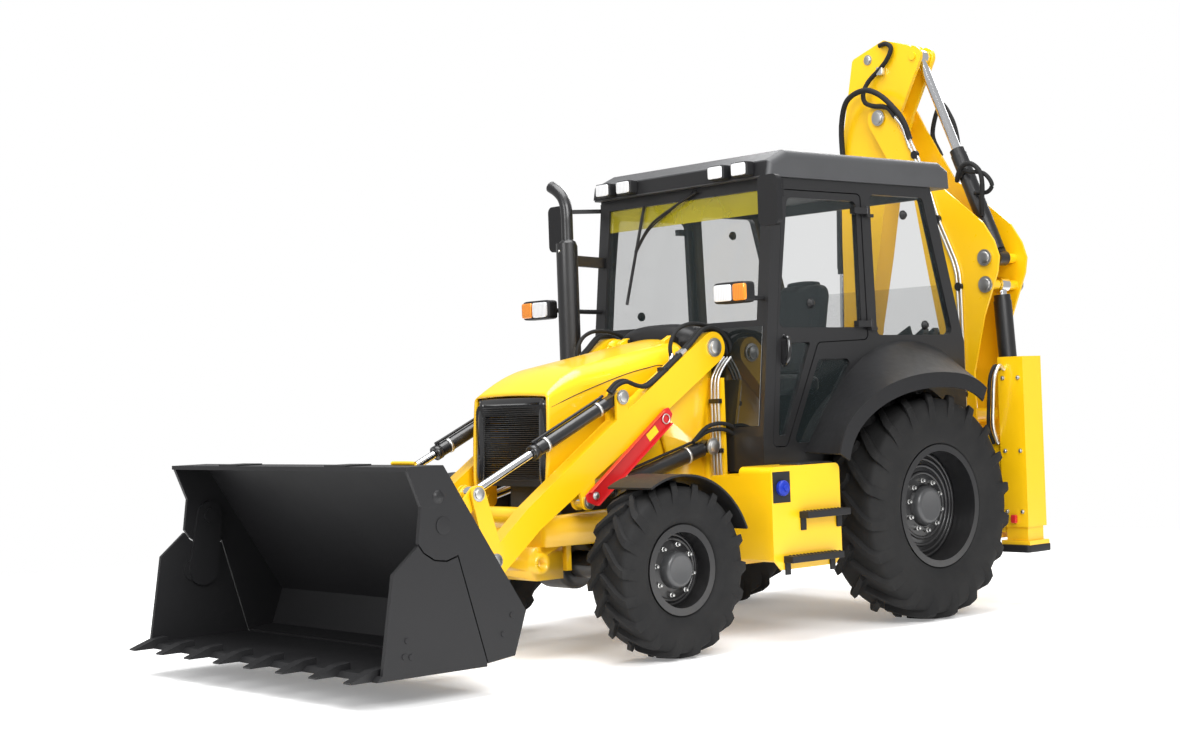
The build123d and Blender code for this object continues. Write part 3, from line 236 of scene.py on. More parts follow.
soot = (0.008, 0.008, 0.009)
finishes = {
    "yellow": paint("yellowPaint", (0.86, 0.50, 0.004), (0.42, 0.33, 0.2), 0.3, 0.5, 0.18),
    "black": paint("blackPaint", (0.007, 0.007, 0.008), (0.12, 0.11, 0.1), 0.38, 0.3, 0.2),
    "cab": paint("cabPaint", (0.011, 0.011, 0.012), (0.1, 0.095, 0.09), 0.42, 0.2, 0.12),
    "red": paint("strutRed", (0.55, 0.012, 0.014), (0.3, 0.2, 0.17), 0.34, 0.4),
    "bucket": bucketSteel("bucketBlack", soot, (0.10, 0.098, 0.095)),
    "plastic": plastic("guardPlastic", (0.011, 0.011, 0.012), 0.5),
    "gloss": paint("glossBlack", soot, (0.05, 0.05, 0.05), 0.12, 1.0, 0.05, 0.03),
    "hub": paint("hubGrey", (0.05, 0.051, 0.053), (0.1, 0.1, 0.095), 0.4, 0.15, 0.1),
    "roof": plastic("roofPlastic", (0.062, 0.063, 0.066), 0.42, 300.0),
    "strip": clear("visorStrip", (0.42, 0.36, 0.02), 0.62, 0.1),
    "darkPane": clear("darkPane", (0.012, 0.014, 0.014), 1.0, 0.04),
    "trim": plastic("trimPlastic", (0.014, 0.014, 0.015), 0.4, 600.0),
    "tyre": rubber("tyreRubber", (0.009, 0.009, 0.0095), (0.042, 0.041, 0.039)),
    "hose": rubber("hoseRubber", (0.012, 0.012, 0.012), (0.035, 0.035, 0.035)),
    "chrome": metal("rodChrome", (0.86, 0.87, 0.89), 0.08),
    "zinc": metal("zincPipe", (0.72, 0.72, 0.7), 0.3, 0.15),
    "steel": metal("boltSteel", (0.58, 0.58, 0.57), 0.28, 0.2),
    "iron": castIron("engineIron", (0.05, 0.052, 0.055)),
    "glass": clear("tintedGlass", (0.035, 0.05, 0.052), 0.15),
    "mirror": metal("mirrorGlass", (0.9, 0.91, 0.92), 0.02, 0.0),
    "lens": lens("lampLens", (0.92, 0.93, 0.95)),
    "amber": lens("amberLens", (0.95, 0.3, 0.02)),
    "seat": cloth("seatCloth", (0.02, 0.021, 0.024)),
    "blue": plastic("capBlue", (0.01, 0.03, 0.32), 0.35),
    "label": plastic("labelYellow", (0.85, 0.6, 0.02), 0.4),
}
print("finishes", len(finishes))

nodeFinish = {
    "yellow": ["main_frame", "rear_frame", "hood", "loader_arms", "tilt_levers", "tilt_links", "carriage",
               "kingpost", "boom", "dipper", "hoe_lever", "hoe_link", "stabiliser_left", "stabiliser_right",
               "step_boxes"],
    "bucket": ["bucket_back", "bucket_jaw", "hoe_bucket"],
    "black": ["lift_barrels", "tilt_barrels", "boom_barrel", "dipper_barrel", "hoe_barrel", "rim_front_left",
              "rim_front_right", "rim_rear_left", "rim_rear_right", "exhaust", "front_axle", "rear_axle",
              "knuckle_left", "knuckle_right"],
    "chrome": ["lift_rods", "tilt_rods", "boom_rod", "dipper_rod", "hoe_rod"],
    "cab": ["cab_frame", "door_left", "door_right"],
    "roof": ["cab_roof"],
    "glass": ["cab_glass", "door_glass_left", "door_glass_right"],
    "plastic": ["front_guard_left", "front_guard_right", "rear_guards", "grille", "cowl", "lamps", "mirrors",
                "cab_controls"],
    "tyre": ["tyre_rear_left", "tyre_rear_right", "tyre_front_left", "tyre_front_right"],
    "iron": ["engine_block"],
    "seat": ["seat"],
    "red": ["safety_strut"],
}
for finish, names in nodeFinish.items():
    for name in names:
        nodes[name].data.materials.clear()
        nodes[name].data.materials.append(finishes[finish])
print("CAD nodes finished", sum(len(n) for n in nodeFinish.values()))


def outward(points, faces):
    # a closed surface holds the volume sum of p0 . (p1 x p2) / 6 over its fans; below zero, turn its faces
    volume = 0.0
    for f in faces:
        for k in range(1, f.shape[1] - 1):
            turned = np.cross(points[f[:, k]], points[f[:, k + 1]])
            volume += np.einsum("ij,ij->", points[f[:, 0]], turned)
    return faces if volume >= 0 else [f[:, ::-1] for f in faces]


def newMesh(name, points, faces, finish, body, smooth=True):
    mesh = bpy.data.meshes.new(name)
    points = np.asarray(points, float).reshape(-1, 3)
    faces = [np.asarray(f, np.int32) for f in (faces if isinstance(faces, list) else [faces])]
    faces = outward(points, faces)
    mesh.vertices.add(len(points))
    mesh.vertices.foreach_set("co", points.ravel())
    corners = np.concatenate([f.ravel() for f in faces])
    sizes = np.concatenate([np.full(len(f), f.shape[1]) for f in faces])
    starts = np.concatenate([[0], np.cumsum(sizes)[:-1]]).astype(np.int32)
    mesh.loops.add(len(corners))
    mesh.loops.foreach_set("vertex_index", corners)
    mesh.polygons.add(len(sizes))
    mesh.polygons.foreach_set("loop_start", starts)
    mesh.polygons.foreach_set("use_smooth", np.full(len(sizes), smooth))
    mesh.update(calc_edges=True)
    mesh.validate()
    mesh.materials.append(finishes[finish])
    piece = bpy.data.objects.new(name, mesh)
    bpy.context.scene.collection.objects.link(piece)
    if body:  # a piece that crosses a joint rides on no single body
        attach(piece, body)
    return piece


def crisp(piece, degrees):
    piece.data.set_sharp_from_angle(angle=math.radians(degrees))
    return piece


def gridFaces(nu, nv, wrapU=False, wrapV=False):
    # quads between neighbours of a grid with nu rows of nv points
    u = np.arange(nu if wrapU else nu - 1)
    v = np.arange(nv if wrapV else nv - 1)
    a, b = np.meshgrid(u, v, indexing="ij")
    c, d = (a + 1) % nu, (b + 1) % nv
    return np.stack([a * nv + b, c * nv + b, c * nv + d, a * nv + d], -1).reshape(-1, 4)


def along(path, profile):
    # a flat profile (n, 2) carried along a path (m, 3): at each point it stands across the path's direction
    path = np.asarray(path, float)
    ahead = np.gradient(path, axis=0)
    ahead /= np.linalg.norm(ahead, axis=1)[:, None]
    across = np.cross(ahead, [0.13, 0.37, 0.92])
    across /= np.linalg.norm(across, axis=1)[:, None]
    up = np.cross(across, ahead)
    spread = profile[None, :, 0, None] * across[:, None, :]
    return path[:, None, :] + spread + profile[None, :, 1, None] * up[:, None, :]


def smoothPath(points, count):
    # Catmull-Rom through the points, evenly in parameter
    p = np.asarray(points, float)
    p = np.vstack([2 * p[0] - p[1], p, 2 * p[-1] - p[-2]])
    t = np.linspace(0, len(p) - 3 - 1e-9, count)
    k = t.astype(int)
    f = (t - k)[:, None]
    a, b, c, d = p[k], p[k + 1], p[k + 2], p[k + 3]
    square, cube = 2 * a - 5 * b + 4 * c - d, 3 * b - a - 3 * c + d
    return 0.5 * (2 * b + (c - a) * f + square * f ** 2 + cube * f ** 3)


def circle(radius, count):
    a = np.linspace(0, 2 * np.pi, count, endpoint=False)
    return radius * np.stack([np.cos(a), np.sin(a)], -1)


def tube(name, points, radius, finish, body, count=40, around=10):
    # a round section carried along a smooth path, its ends closed
    path = smoothPath(points, count)
    rings = along(path, circle(radius, around))
    pts = np.vstack([rings.reshape(-1, 3), path[0], path[-1]])
    k = np.arange(around)
    centre, far = count * around, (count - 1) * around
    first = np.stack([np.full(around, centre), (k + 1) % around, k], -1)
    last = np.stack([np.full(around, centre + 1), far + k, far + (k + 1) % around], -1)
    faces = [f[:, ::-1] for f in (gridFaces(count, around, wrapV=True), first, last)]
    return newMesh(name, pts, faces, finish, body)


def rod(name, rows, finish, body):
    # rows of points that each make a closed section, joined to the next row, with flat ends
    m, n = rows.shape[:2]
    k = np.arange(n)
    faces = [gridFaces(m, n, wrapV=True), k[None, ::-1], ((m - 1) * n + k)[None]]
    return newMesh(name, rows, faces, finish, body)


def joinFaces(parts):
    # stacks pairs of points and faces into one list of points and one of faces
    pts, faces, start = [], [], 0
    for p, group in parts:
        p = np.asarray(p, float).reshape(-1, 3)
        pts.append(p)
        faces += [np.asarray(f) + start for f in (group if isinstance(group, list) else [group])]
        start += len(p)
    return np.vstack(pts), faces


def latheAbout(centre, axis, profile, around):
    # points of a profile (distance along the axis, radius) turned about an axis through centre
    axis = np.asarray(axis, float) / np.linalg.norm(axis)
    side = np.cross(axis, [0.0, 0.0, 1.0] if abs(axis[2]) < 0.9 else [1.0, 0.0, 0.0])
    side /= np.linalg.norm(side)
    up = np.cross(axis, side)
    profile = np.asarray(profile, float)
    a = np.linspace(0, 2 * np.pi, around, endpoint=False)
    spoke = np.cos(a)[:, None] * side + np.sin(a)[:, None] * up
    line = np.asarray(centre)[None, None, :] + profile[:, 0][:, None, None] * axis
    return line + profile[:, 1][:, None, None] * spoke[None, :, :]


def turnedSet(name, centres, axis, profile, around, finish, body, smooth=True, ring=False):
    # the same turned shape at every centre; its profile ends on the axis, or closes on itself as a ring
    faces = gridFaces(len(profile), around, wrapU=ring, wrapV=True)
    pts, faces = joinFaces([(latheAbout(c, axis, profile, around), faces) for c in centres])
    return newMesh(name, pts, faces, finish, body, smooth)


def pillow(name, corners, finish, body, power=0.35, nu=24, nv=36):
    # rounded box between two corners: a superellipsoid, each coordinate is sign * |cos or sin| ** power
    low, high = np.sort(np.asarray(corners, float), axis=0)
    v = np.linspace(-np.pi / 2, np.pi / 2, nu)
    u = np.linspace(-np.pi, np.pi, nv, endpoint=False)
    bend = lambda w: np.sign(w) * np.abs(w) ** power
    cv, sv = bend(np.cos(v))[:, None], bend(np.sin(v))[:, None]
    shape = np.stack([cv * bend(np.cos(u)), cv * bend(np.sin(u)), sv * np.ones((1, nv))], -1)
    pts = (low + high) / 2 + shape * (high - low) / 2
    return newMesh(name, pts, gridFaces(nu, nv, wrapV=True)[:, ::-1], finish, body)


def slabs(name, plates, place, finish, body, bevel=0.003):
    # flat outlines (u, v), each thickened from low to high along w; place puts u, v, w in the model's frame
    parts = []
    for corners, low, high in plates:
        n = len(corners)
        u, v = np.asarray(corners, float).T
        pts = np.vstack([place(u, v, np.full(n, w)) for w in (low, high)])
        k = np.arange(n)
        walls = np.stack([k, (k + 1) % n, n + (k + 1) % n, n + k], -1)
        parts.append((pts, outward(pts, [walls, k[None, ::-1], (n + k)[None]])))
    pts, faces = joinFaces(parts)
    piece = newMesh(name, pts, faces, finish, body, smooth=False)
    edge = piece.modifiers.new("softEdge", "BEVEL")
    edge.width = bevel
    edge.segments = 2
    edge.limit_method = "ANGLE"
    edge.angle_limit = math.radians(35)
    return piece


def sideways(u, v, w):  # outlines seen from the side: u forward, v up, w to the left
    return np.stack([u - midX, w, v], -1)


def fromAbove(u, v, w):  # outlines seen from above: u forward, v to the left, w up
    return np.stack([u - midX, v, w], -1)


print("tools ready")

# tyres: a turned carcass, and lugs that run from the middle of the tread over the shoulder
tyreSets = {
    "rear": dict(x=0.0, y=0.905, radius=0.715, half=0.215, flange=0.383, rimHalf=0.19, lugs=20,
                 lugHeight=0.036, skew=0.3, lugWide=0.056),
    "front": dict(x=2.175, y=0.89, radius=0.495, half=0.1575, flange=0.252, rimHalf=0.125, lugs=18,
                  lugHeight=0.028, skew=0.34, lugWide=0.046),
}


def tyreCarcass(t):
    # section (y, r): bead, bulged wall, shoulder and crowned tread, then the same mirrored
    r, h, f, b = t["radius"] - t["lugHeight"], t["half"], t["flange"], t["rimHalf"]
    bead = [(b - 0.014, f - 0.026), (b - 0.014, f + 0.002), (b + 0.004, f + 0.016)]
    bulge = ((0.97, 0.24), (1, 0.45), (0.985, 0.66), (0.93, 0.83), (0.82, 0.95))
    wall = [(h * out, f + up * (r - f)) for out, up in bulge]
    side = smoothPath([(y, z, 0) for y, z in bead + wall + [(h * 0.6, r - 0.002)]], 30)[:, :2]
    return np.vstack([side, side[::-1] * [-1, 1]])


def tyre(name, where, t, body):
    profile = tyreCarcass(t)
    around = 128
    shell = latheAbout(where, (0, 1, 0), profile, around)
    parts = [(shell, gridFaces(len(profile), around, wrapU=True, wrapV=True))]
    # a lug: stations along its length, each a six-point section set on the carcass
    n, s = t["lugs"], 9
    radius, half = t["radius"], t["half"]
    w = np.linspace(0, 1, s)
    yLine = np.interp(w, [0, 0.55, 0.8, 1], [-0.012, 0.6 * half, 0.9 * half, half])
    rTop = radius - np.interp(w, [0, 0.5, 0.75, 0.9, 1], [0, 0.003, 0.012, 0.045 * radius, 0.115 * radius])
    shoulder = np.interp(w, [0, 0.6, 0.8, 1], [0, 0.004, 0.03, 0.16 * radius])
    rLow = np.minimum(rTop - 0.012, radius - t["lugHeight"] * 1.5 - shoulder)
    twist = t["skew"] * np.interp(w, [0, 0.7, 1], [0, 0.86, 1.0])
    wide = t["lugWide"] * np.interp(w, [0, 0.25, 1], [0.72, 1.0, 1.12])
    section = np.array([[-0.72, 0.0], [-0.5, 0.82], [-0.42, 1.0], [0.42, 1.0], [0.5, 0.82], [0.72, 0.0]])
    k = len(section)
    foot, cap = [[0, 1, 4, 5], [1, 2, 3, 4]], [[0, 5, 4, 1], [1, 4, 3, 2]]
    quads = np.vstack([gridFaces(s, k), foot, np.array(cap) + (s - 1) * k])
    arc = wide[:, None] * section[None, :, 0] / radius
    reach = rLow[:, None] + (rTop - rLow)[:, None] * section[None, :, 1]
    for hand in (-1, 1):
        turn = (np.arange(n) + (0.5 if hand > 0 else 0.0)) * 2 * np.pi / n
        angle = turn[:, None, None] + (twist[:, None] + arc)[None]
        x = where[0] + reach[None] * np.sin(angle)
        z = where[2] + reach[None] * np.cos(angle)
        y = where[1] + np.broadcast_to(hand * yLine[None, :, None], x.shape)
        every = (quads[:, ::hand][None] + (np.arange(n) * s * k)[:, None, None]).reshape(-1, 4)
        parts.append((np.stack([x, y, z], -1), every))
    pts, faces = joinFaces(parts)
    piece = crisp(newMesh(name, pts, faces, "tyre", body), 35)
    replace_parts(piece, name.replace("Tyre", "tyre"))


for axle, t in tyreSets.items():
    for hand, sign in hands:
        tyre(f"Tyre_{axle}_{hand}", at(t["x"], sign * t["y"], t["radius"]), t, f"{axle}_{hand}_wheel")
print("tyres", len(tyreSets) * 2)

# wheel studs: a hex nut and its stud end on a ring round the hub, and a hub cap
studSets = {
    "rear": dict(count=10, ring=0.158, out=0.953, nut=0.017, disc=0.953, cap=0.124, capOut=0.063,
                 steps=(0.205, 0.25, 0.295, 0.33)),
    "front": dict(count=8, ring=0.142, out=0.931, nut=0.015, disc=0.936, cap=0.106, capOut=0.065,
                  steps=(0.172, 0.196, 0.215)),
}
for axle, s in studSets.items():
    x, z = tyreSets[axle]["x"], tyreSets[axle]["radius"]
    nut, ring, r, out = s["nut"], s["ring"], s["cap"], s["capOut"]
    stud = [(-0.01, 0.0), (-0.01, nut), (0.018, nut), (0.02, nut * 0.7), (0.034, nut * 0.62), (0.036, 0.0)]
    # hub cap: a low drum with a rounded shoulder and a shallow dished face
    drum = [(-0.004, 0.0), (-0.004, r), (0.4 * out, 0.99 * r), (0.78 * out, 0.95 * r), (0.94 * out, 0.86 * r),
            (out, 0.76 * r), (0.97 * out, 0.7 * r), (0.96 * out, 0.0)]
    turns = np.linspace(0, 2 * np.pi, s["count"], endpoint=False) + 0.2
    for hand, sign in hands:
        wheel, axis = f"{axle}_{hand}_wheel", (0, sign, 0)
        centres = [at(x + ring * math.cos(a), sign * s["out"], z + ring * math.sin(a)) for a in turns]
        turnedSet(f"wheelNuts_{axle}_{hand}", centres, axis, stud, 6, "steel", wheel, smooth=False)
        middle = [at(x, sign * s["disc"], z)]
        crisp(turnedSet(f"hubCap_{axle}_{hand}", middle, axis, drum, 64, "hub", wheel), 40)
        # pressed steps of the rim: half-round rings that stand on the sloping disc
        for k, step in enumerate(s["steps"]):
            sink = 0.03 * (step - ring) / (s["steps"][-1] - ring)
            bead = circle(0.01, 12) * [1.0, 1.25] + [0.0, step]
            middle = [at(x, sign * (s["out"] - sink), z)]
            turnedSet(f"rimStep{k}_{axle}_{hand}", middle, axis, bead, 72, "black", wheel, ring=True)
print("wheel nuts", sum(s["count"] for s in studSets.values()) * 2)

# chassis frame as the photograph shows it: the tower is one plate, with the arm and lift ram outside it
towerSet = dict(cut=0.505)


def openTowers(t):
    mesh = nodes["main_frame"].data.copy()
    shape = bmesh.new()
    shape.from_mesh(mesh)
    bmesh.ops.remove_doubles(shape, verts=shape.verts[:], dist=0.00002)
    for sign in (-1, 1):
        plane = dict(plane_co=(0, sign * t["cut"], 0), plane_no=(0, sign, 0), clear_outer=True)
        cut = bmesh.ops.bisect_plane(shape, geom=shape.verts[:] + shape.edges[:] + shape.faces[:], **plane)
        rim = [e for e in cut["geom_cut"] if isinstance(e, bmesh.types.BMEdge)]
        bmesh.ops.holes_fill(shape, edges=rim, sides=0)
    shape.to_mesh(mesh)
    shape.free()
    piece = crisp(bpy.data.objects.new("chassisFrame", mesh), 30)
    bpy.context.scene.collection.objects.link(piece)
    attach(piece, "chassis")
    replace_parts(piece, "main_frame")


openTowers(towerSet)
print("chassis frame")

# pin heads: a washer and a chamfered round head, on both sides
pinSets = [
    dict(name="armPivotPins", body="chassis", places=[(1360, 503, 1745)], radius=0.04, out=0.026),
    dict(name="liftBasePins", body="chassis", places=[(1400, 505, 1150)], radius=0.036, out=0.022),
    dict(name="armPins", body="arms", places=[(2119, 508, 1465), (2400, 508, 880)], radius=0.03, out=0.016),
    dict(name="leverPins", body="tilt_levers", places=[(3096, 518, 600)], radius=0.03, out=0.016),
    dict(name="linkPins", body="tilt_links", places=[(3200, 518, 970)], radius=0.028, out=0.016),
    dict(name="bucketPins", body="bucket", places=[(3300, 550, 400), (3404, 550, 770)],
         radius=0.034, out=0.018),
]
hoePinSets = [
    dict(name="boomFootPins", body="kingpost", places=[(250, 720, 177)], radius=0.042, out=0.02),
    dict(name="boomPins", body="boom", places=[(925, 3416, 177), (30, 2335, 175), (30, 2150, 175)],
         radius=0.04, out=0.02),
    dict(name="dipperPins", body="dipper", places=[(1078, 3868, 86)], radius=0.026, out=0.014),
]


def pinProfile(r, out):
    washer = [(-0.004, 0.0), (-0.004, 1.42 * r), (0.3 * out, 1.42 * r), (0.36 * out, 1.04 * r)]
    return washer + [(0.85 * out, r), (out, 0.84 * r), (out, 0.0)]


def pinHeads(p, place, end, sign, axis):
    head = pinProfile(p["radius"], p["out"])
    crisp(turnedSet(p["name"] + end, place(p["places"], sign), axis, head, 28, "steel", p["body"]), 35)


for p in pinSets:
    for hand, sign in sides:
        pinHeads(p, mm, hand, sign, (0, sign, 0))
for p in hoePinSets:
    for end, sign in (("Front", 1), ("Rear", -1)):
        pinHeads(p, hoeMm, end, sign, (sign, 0, 0))
print("pin heads")

# grille: fine bowed slats between two glossy pillars and under a glossy brow
grilleSet = dict(half=0.264, low=1.01, high=1.428, slats=36, bow=0.014, face=2.5475, pillarY=0.292,
                 pillarHalf=0.036, pillarMid=1.226, pillarReach=0.252, browHalf=0.3, browZ=1.456, browX=2.52)


def hoodFront(z):  # how far forward the hood's front edge lies at a height
    return 2.575 - 0.03 * (np.asarray(z, float) - 0.96) / 0.53


def grilleSlats(g):
    # a small leaning blade section carried across in y, its middle bowed forward by a parabola, for each slat
    y = np.linspace(-g["half"], g["half"], 13)
    z = np.linspace(g["low"], g["high"], g["slats"])
    blade = np.array([[-0.016, -0.0035], [0.0, -0.0045], [0.002, 0.0], [-0.014, 0.0025]])
    x = g["face"] + g["bow"] * (1 - (y / g["half"]) ** 2)
    pts = np.empty((len(z), len(y), 4, 3))
    pts[..., 0] = x[None, :, None] + blade[None, None, :, 0] - midX
    pts[..., 1] = y[None, :, None]
    pts[..., 2] = z[:, None, None] + blade[None, None, :, 1]
    n = 4 * len(y)
    one = np.vstack([gridFaces(len(y), 4, wrapV=True)[:, ::-1], [[0, 1, 2, 3], [n - 1, n - 2, n - 3, n - 4]]])
    faces = (one[None] + (np.arange(len(z)) * n)[:, None, None]).reshape(-1, 4)
    newMesh("grilleSlats", pts, faces, "trim", "hood_cover", smooth=False)


def grillePillar(name, sign, g):
    # an oval section carried up the hood's front edge, drawn in at both ends by 0.15 + 0.85 sqrt(1 - t ** 8)
    t = np.linspace(-1, 1, 30)
    z = g["pillarMid"] + g["pillarReach"] * t
    a = np.linspace(0, 2 * np.pi, 24, endpoint=False)
    swell = ((1 - t ** 8) ** 0.5 * 0.85 + 0.15)[:, None]
    y = sign * (g["pillarY"] - 0.012 * (t + 1) / 2)[:, None] + g["pillarHalf"] * swell * np.cos(a)[None, :]
    x = (hoodFront(z) - 0.022)[:, None] + 0.024 * swell * np.sin(a)[None, :]
    rod(name, np.stack([x - midX, y, np.broadcast_to(z[:, None], x.shape)], -1), "gloss", "hood_cover")


def grilleBrow(g):
    # an oval section carried across under the hood's edge, bowed forward by a parabola
    y = np.linspace(-g["browHalf"], g["browHalf"], 25)
    a = np.linspace(0, 2 * np.pi, 20, endpoint=False)
    x = g["browX"] + 0.016 * (1 - (y / g["browHalf"]) ** 2)
    pts = np.empty((25, 20, 3))
    pts[..., 0] = x[:, None] + 0.018 * np.cos(a)[None, :] - midX
    pts[..., 1] = y[:, None]
    pts[..., 2] = g["browZ"] + 0.028 * np.sin(a)[None, :]
    rod("grilleBrow", pts, "gloss", "hood_cover")


grilleSlats(grilleSet)
for hand, sign in sides:
    grillePillar(f"grillePillar{hand}", sign, grilleSet)
grilleBrow(grilleSet)
print("grille")

# cab front: tinted strip above the windscreen, dark lower panes, wiper
cabSet = dict(strip=(-688, 2545, 688, 2688), pane=(395, 1262, 745, 1862), fascia=(-780, 2768, 780, 2852))
wiperSets = [
    dict(name="wiperArm", radius=0.008, count=20,
         route=[(150, 2735, 35), (-60, 2655, 35), (-273, 2560, 28), (-416, 2400, 22)]),
    dict(name="wiperLink", radius=0.005, count=20,
         route=[(105, 2735, 30), (-80, 2640, 30), (-290, 2530, 24), (-420, 2370, 22)]),
    dict(name="wiperBlade", radius=0.01, count=16,
         route=[(-350, 2690, 20), (-413, 2380, 20), (-476, 2060, 20)]),
]


def cabFront(z):  # how far forward the raked front of the cab lies at a height
    return 1.25 - 0.165 * (np.asarray(z, float) - 1.2) / 1.56


def onWindscreen(u, v, w):  # u to the left, v up, w ahead of the pane
    return np.stack([cabFront(v) - 0.015 + w - midX, u, v], -1)


def onCabFront(u, v, w):
    return np.stack([cabFront(v) + w - midX, u, v], -1)


def onRoofFront(u, v, w):  # the raked front face of the roof cap
    return np.stack([1.15 - 0.2 * (v - 2.76) + w - midX, u, v], -1)


y0, z0, y1, z1 = cabSet["pane"]
panes = [(box(sign * y0, z0, sign * y1, z1), 0.0, 0.005) for sign in (1, -1)]
slabs("visorStrip", [(box(*cabSet["strip"]), 0.0005, 0.002)], onWindscreen, "strip", "chassis", 0.0005)
slabs("lowerPanes", panes, onCabFront, "darkPane", "chassis", 0.002)
for s in wiperSets:
    route = [onWindscreen(y / 1000, z / 1000, w / 1000) for y, z, w in s["route"]]
    tube(s["name"], route, s["radius"], "trim", "chassis", s["count"])
slabs("roofFascia", [(box(*cabSet["fascia"]), 0.0005, 0.004)], onRoofFront, "trim", "chassis", 0.001)
print("cab front")

# lamps: wide headlamps on stays with amber outboard, and square work lamps in pairs
lampSet = {
    "shell": dict(finish="plastic", corners=[(1515, 748, 1985), (1600, 1018, 2110)]),
    "lens": dict(finish="lens", corners=[(1588, 764, 1999), (1612, 904, 2096)]),
    "amber": dict(finish="amber", corners=[(1556, 914, 1998), (1610, 1015.5, 2097)]),
}
lampStay = [(1135, 735, 2030), (1280, 735, 2030), (1430, 758, 2036), (1530, 810, 2046)]
for key, s in lampSet.items():
    for hand, sign in hands:
        piece = pillow(f"headlamp_{key}_{hand}", mm(s["corners"], sign), s["finish"], "chassis", 0.25)
        if (key, hand) == ("shell", "left"):
            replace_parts(piece, "lamps")
for hand, sign in hands:
    tube(f"headlampStay_{hand}", mm(lampStay, sign), 0.015, "plastic", "chassis", 28, 16)
for k, (x, y) in enumerate((x, y) for x in (1214, -664) for y in (-620, -420, 420, 620)):
    back = x - 70 if x > 0 else x + 70
    pillow(f"workLamp{k}", mm([(x, y - 70, 2770), (back, y + 70, 2860)]), "plastic", "chassis", 0.2)
    pillow(f"workLens{k}", mm([(x - 10, y - 58, 2778), (x + 10, y + 58, 2852)]), "lens", "chassis", 0.25)
for hand, sign in sides:
    glass = mm([(1284, 894, 2460), (1294, 1026, 2720)], sign)
    pillow(f"mirrorGlass{hand}", glass, "mirror", "chassis", 0.3)
print("lamps and mirrors")

# exhaust: tall muffler drum behind a riveted heat shield, on two stays, and a stack that bends outwards
exhaustSet = dict(
    x=1.54, y=-0.605, pipe=0.038, shield=0.076, arc=1.25, low=1.56, high=2.46,
    drum=[(1.33, 0.0), (1.33, 0.034), (1.5, 0.034), (1.515, 0.052), (1.54, 0.062), (2.44, 0.062),
          (2.47, 0.052), (2.485, 0.034), (2.485, 0.0)],
    bend=[(0.0, 2.47), (0.0, 2.56), (0.0, 2.64), (0.008, 2.7), (0.034, 2.758), (0.085, 2.804),
          (0.145, 2.838)],
    rivet=[(-0.003, 0.0), (-0.003, 0.009), (0.002, 0.008), (0.004, 0.0)], rivetZ=(1.7, 2.41))
e = exhaustSet
muffler = turnedSet("mufflerDrum", [at(e["x"], e["y"], 0.0)], (0, 0, 1), e["drum"], 36, "black", "chassis")
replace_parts(crisp(muffler, 45), "exhaust")
bend = [at(e["x"], e["y"] - d, z) for d, z in e["bend"]]
tube("exhaustStack", bend, e["pipe"], "black", "chassis", 36, 24)
# the shield is an upright strip of a cylinder, x = r cos(a), y = r sin(a), with an inner and an outer skin
a = np.linspace(-e["arc"], e["arc"], 25)
skins = ((e["shield"], a), (e["shield"] - 0.004, a[::-1]))
loop = np.concatenate([np.stack([r * np.cos(t), r * np.sin(t)], -1) for r, t in skins])
rows = np.empty((8, len(loop), 3))
rows[..., :2] = loop + at(e["x"], e["y"], 0.0)[:2]
rows[..., 2] = np.linspace(e["low"], e["high"], 8)[:, None]
crisp(rod("heatShield", rows, "black", "chassis"), 40)
rivets = [at(e["x"] + e["shield"], e["y"], z) for z in e["rivetZ"]]
turnedSet("shieldRivets", rivets, (1, 0, 0), e["rivet"], 14, "zinc", "chassis")
stays = [(box(1224, -621, 1500, -589), 1.42, 1.45),
         ([(1.128, -0.74), (1.5, -0.622), (1.5, -0.592), (1.128, -0.71)], 2.315, 2.385)]
slabs("exhaustStays", stays, fromAbove, "black", "chassis")
print("exhaust")

# step box: channel treads, grip pad and the filler cap in its recess
stepSet = dict(treads=((884, 1256, 725), (955, 1402, 475)), pad=[(915, 865, 1022), (1225, 1035, 1040)],
               cap=(1400, 905), tooth=[(-0.004, 0.0), (-0.004, 0.008), (0.004, 0.006), (0.004, 0.0)])
for hand, sign in sides:
    plates, teeth = [], []
    for x0, x1, z in stepSet["treads"]:
        plates.append((box(x0, z - 4, x1, z + 36), sign * 1.052, sign * 1.126))
        for x in (x0 + 30, x1 - 30):
            plates.append((box(x - 22, z - 75, x + 22, z - 2), sign * 1.05, sign * 1.062))
        teeth += mm([(x, y, z + 36) for x in range(x0 + 20, x1 - 10, 30) for y in (1070, 1106)], sign)
    slabs(f"stepTreads{hand}", plates, sideways, "plastic", "chassis", 0.004)
    turnedSet(f"treadTeeth{hand}", teeth, (0, 0, 1), stepSet["tooth"], 8, "plastic", "chassis", smooth=False)
    pillow(f"stepPad{hand}", mm(stepSet["pad"], sign), "trim", "chassis", 0.2)
x, z = stepSet["cap"]
slabs("capRecess", [(box(x - 75, z - 85, x + 70, z + 95), 1.049, 1.053)], sideways, "trim", "chassis", 0.001)
cap = [(0.0, 0.0), (0.0, 0.044), (0.022, 0.046), (0.03, 0.04), (0.032, 0.018), (0.044, 0.016), (0.046, 0.0)]
crisp(turnedSet("fillerCap", mm([(x, 1052, z)]), (0, 1, 0), cap, 20, "blue", "chassis"), 30)
print("step boxes")

# rams: a feed pipe along each barrel's top, held by two clamp bands, and a gland collar past its far end
ramSets = [
    dict(name="tilt", body="tilt_barrels", base=(2.119, 1.465), tip=(3.2, 0.97), radius=0.04,
         span=(0.115, 0.66), bands=(0.165, 0.6)),
    dict(name="lift", body="lift_barrels", base=(1.4, 1.15), tip=(2.4, 0.88), radius=0.048,
         span=(0.1, 0.77), bands=(0.185, 0.7)),
]
ramBand = ((-0.009, -0.001), (-0.009, 0.006), (0.009, 0.006), (0.009, -0.001))
ramCollar = ((-0.02, -0.002), (-0.02, 0.004), (0.016, 0.004), (0.02, -0.002))


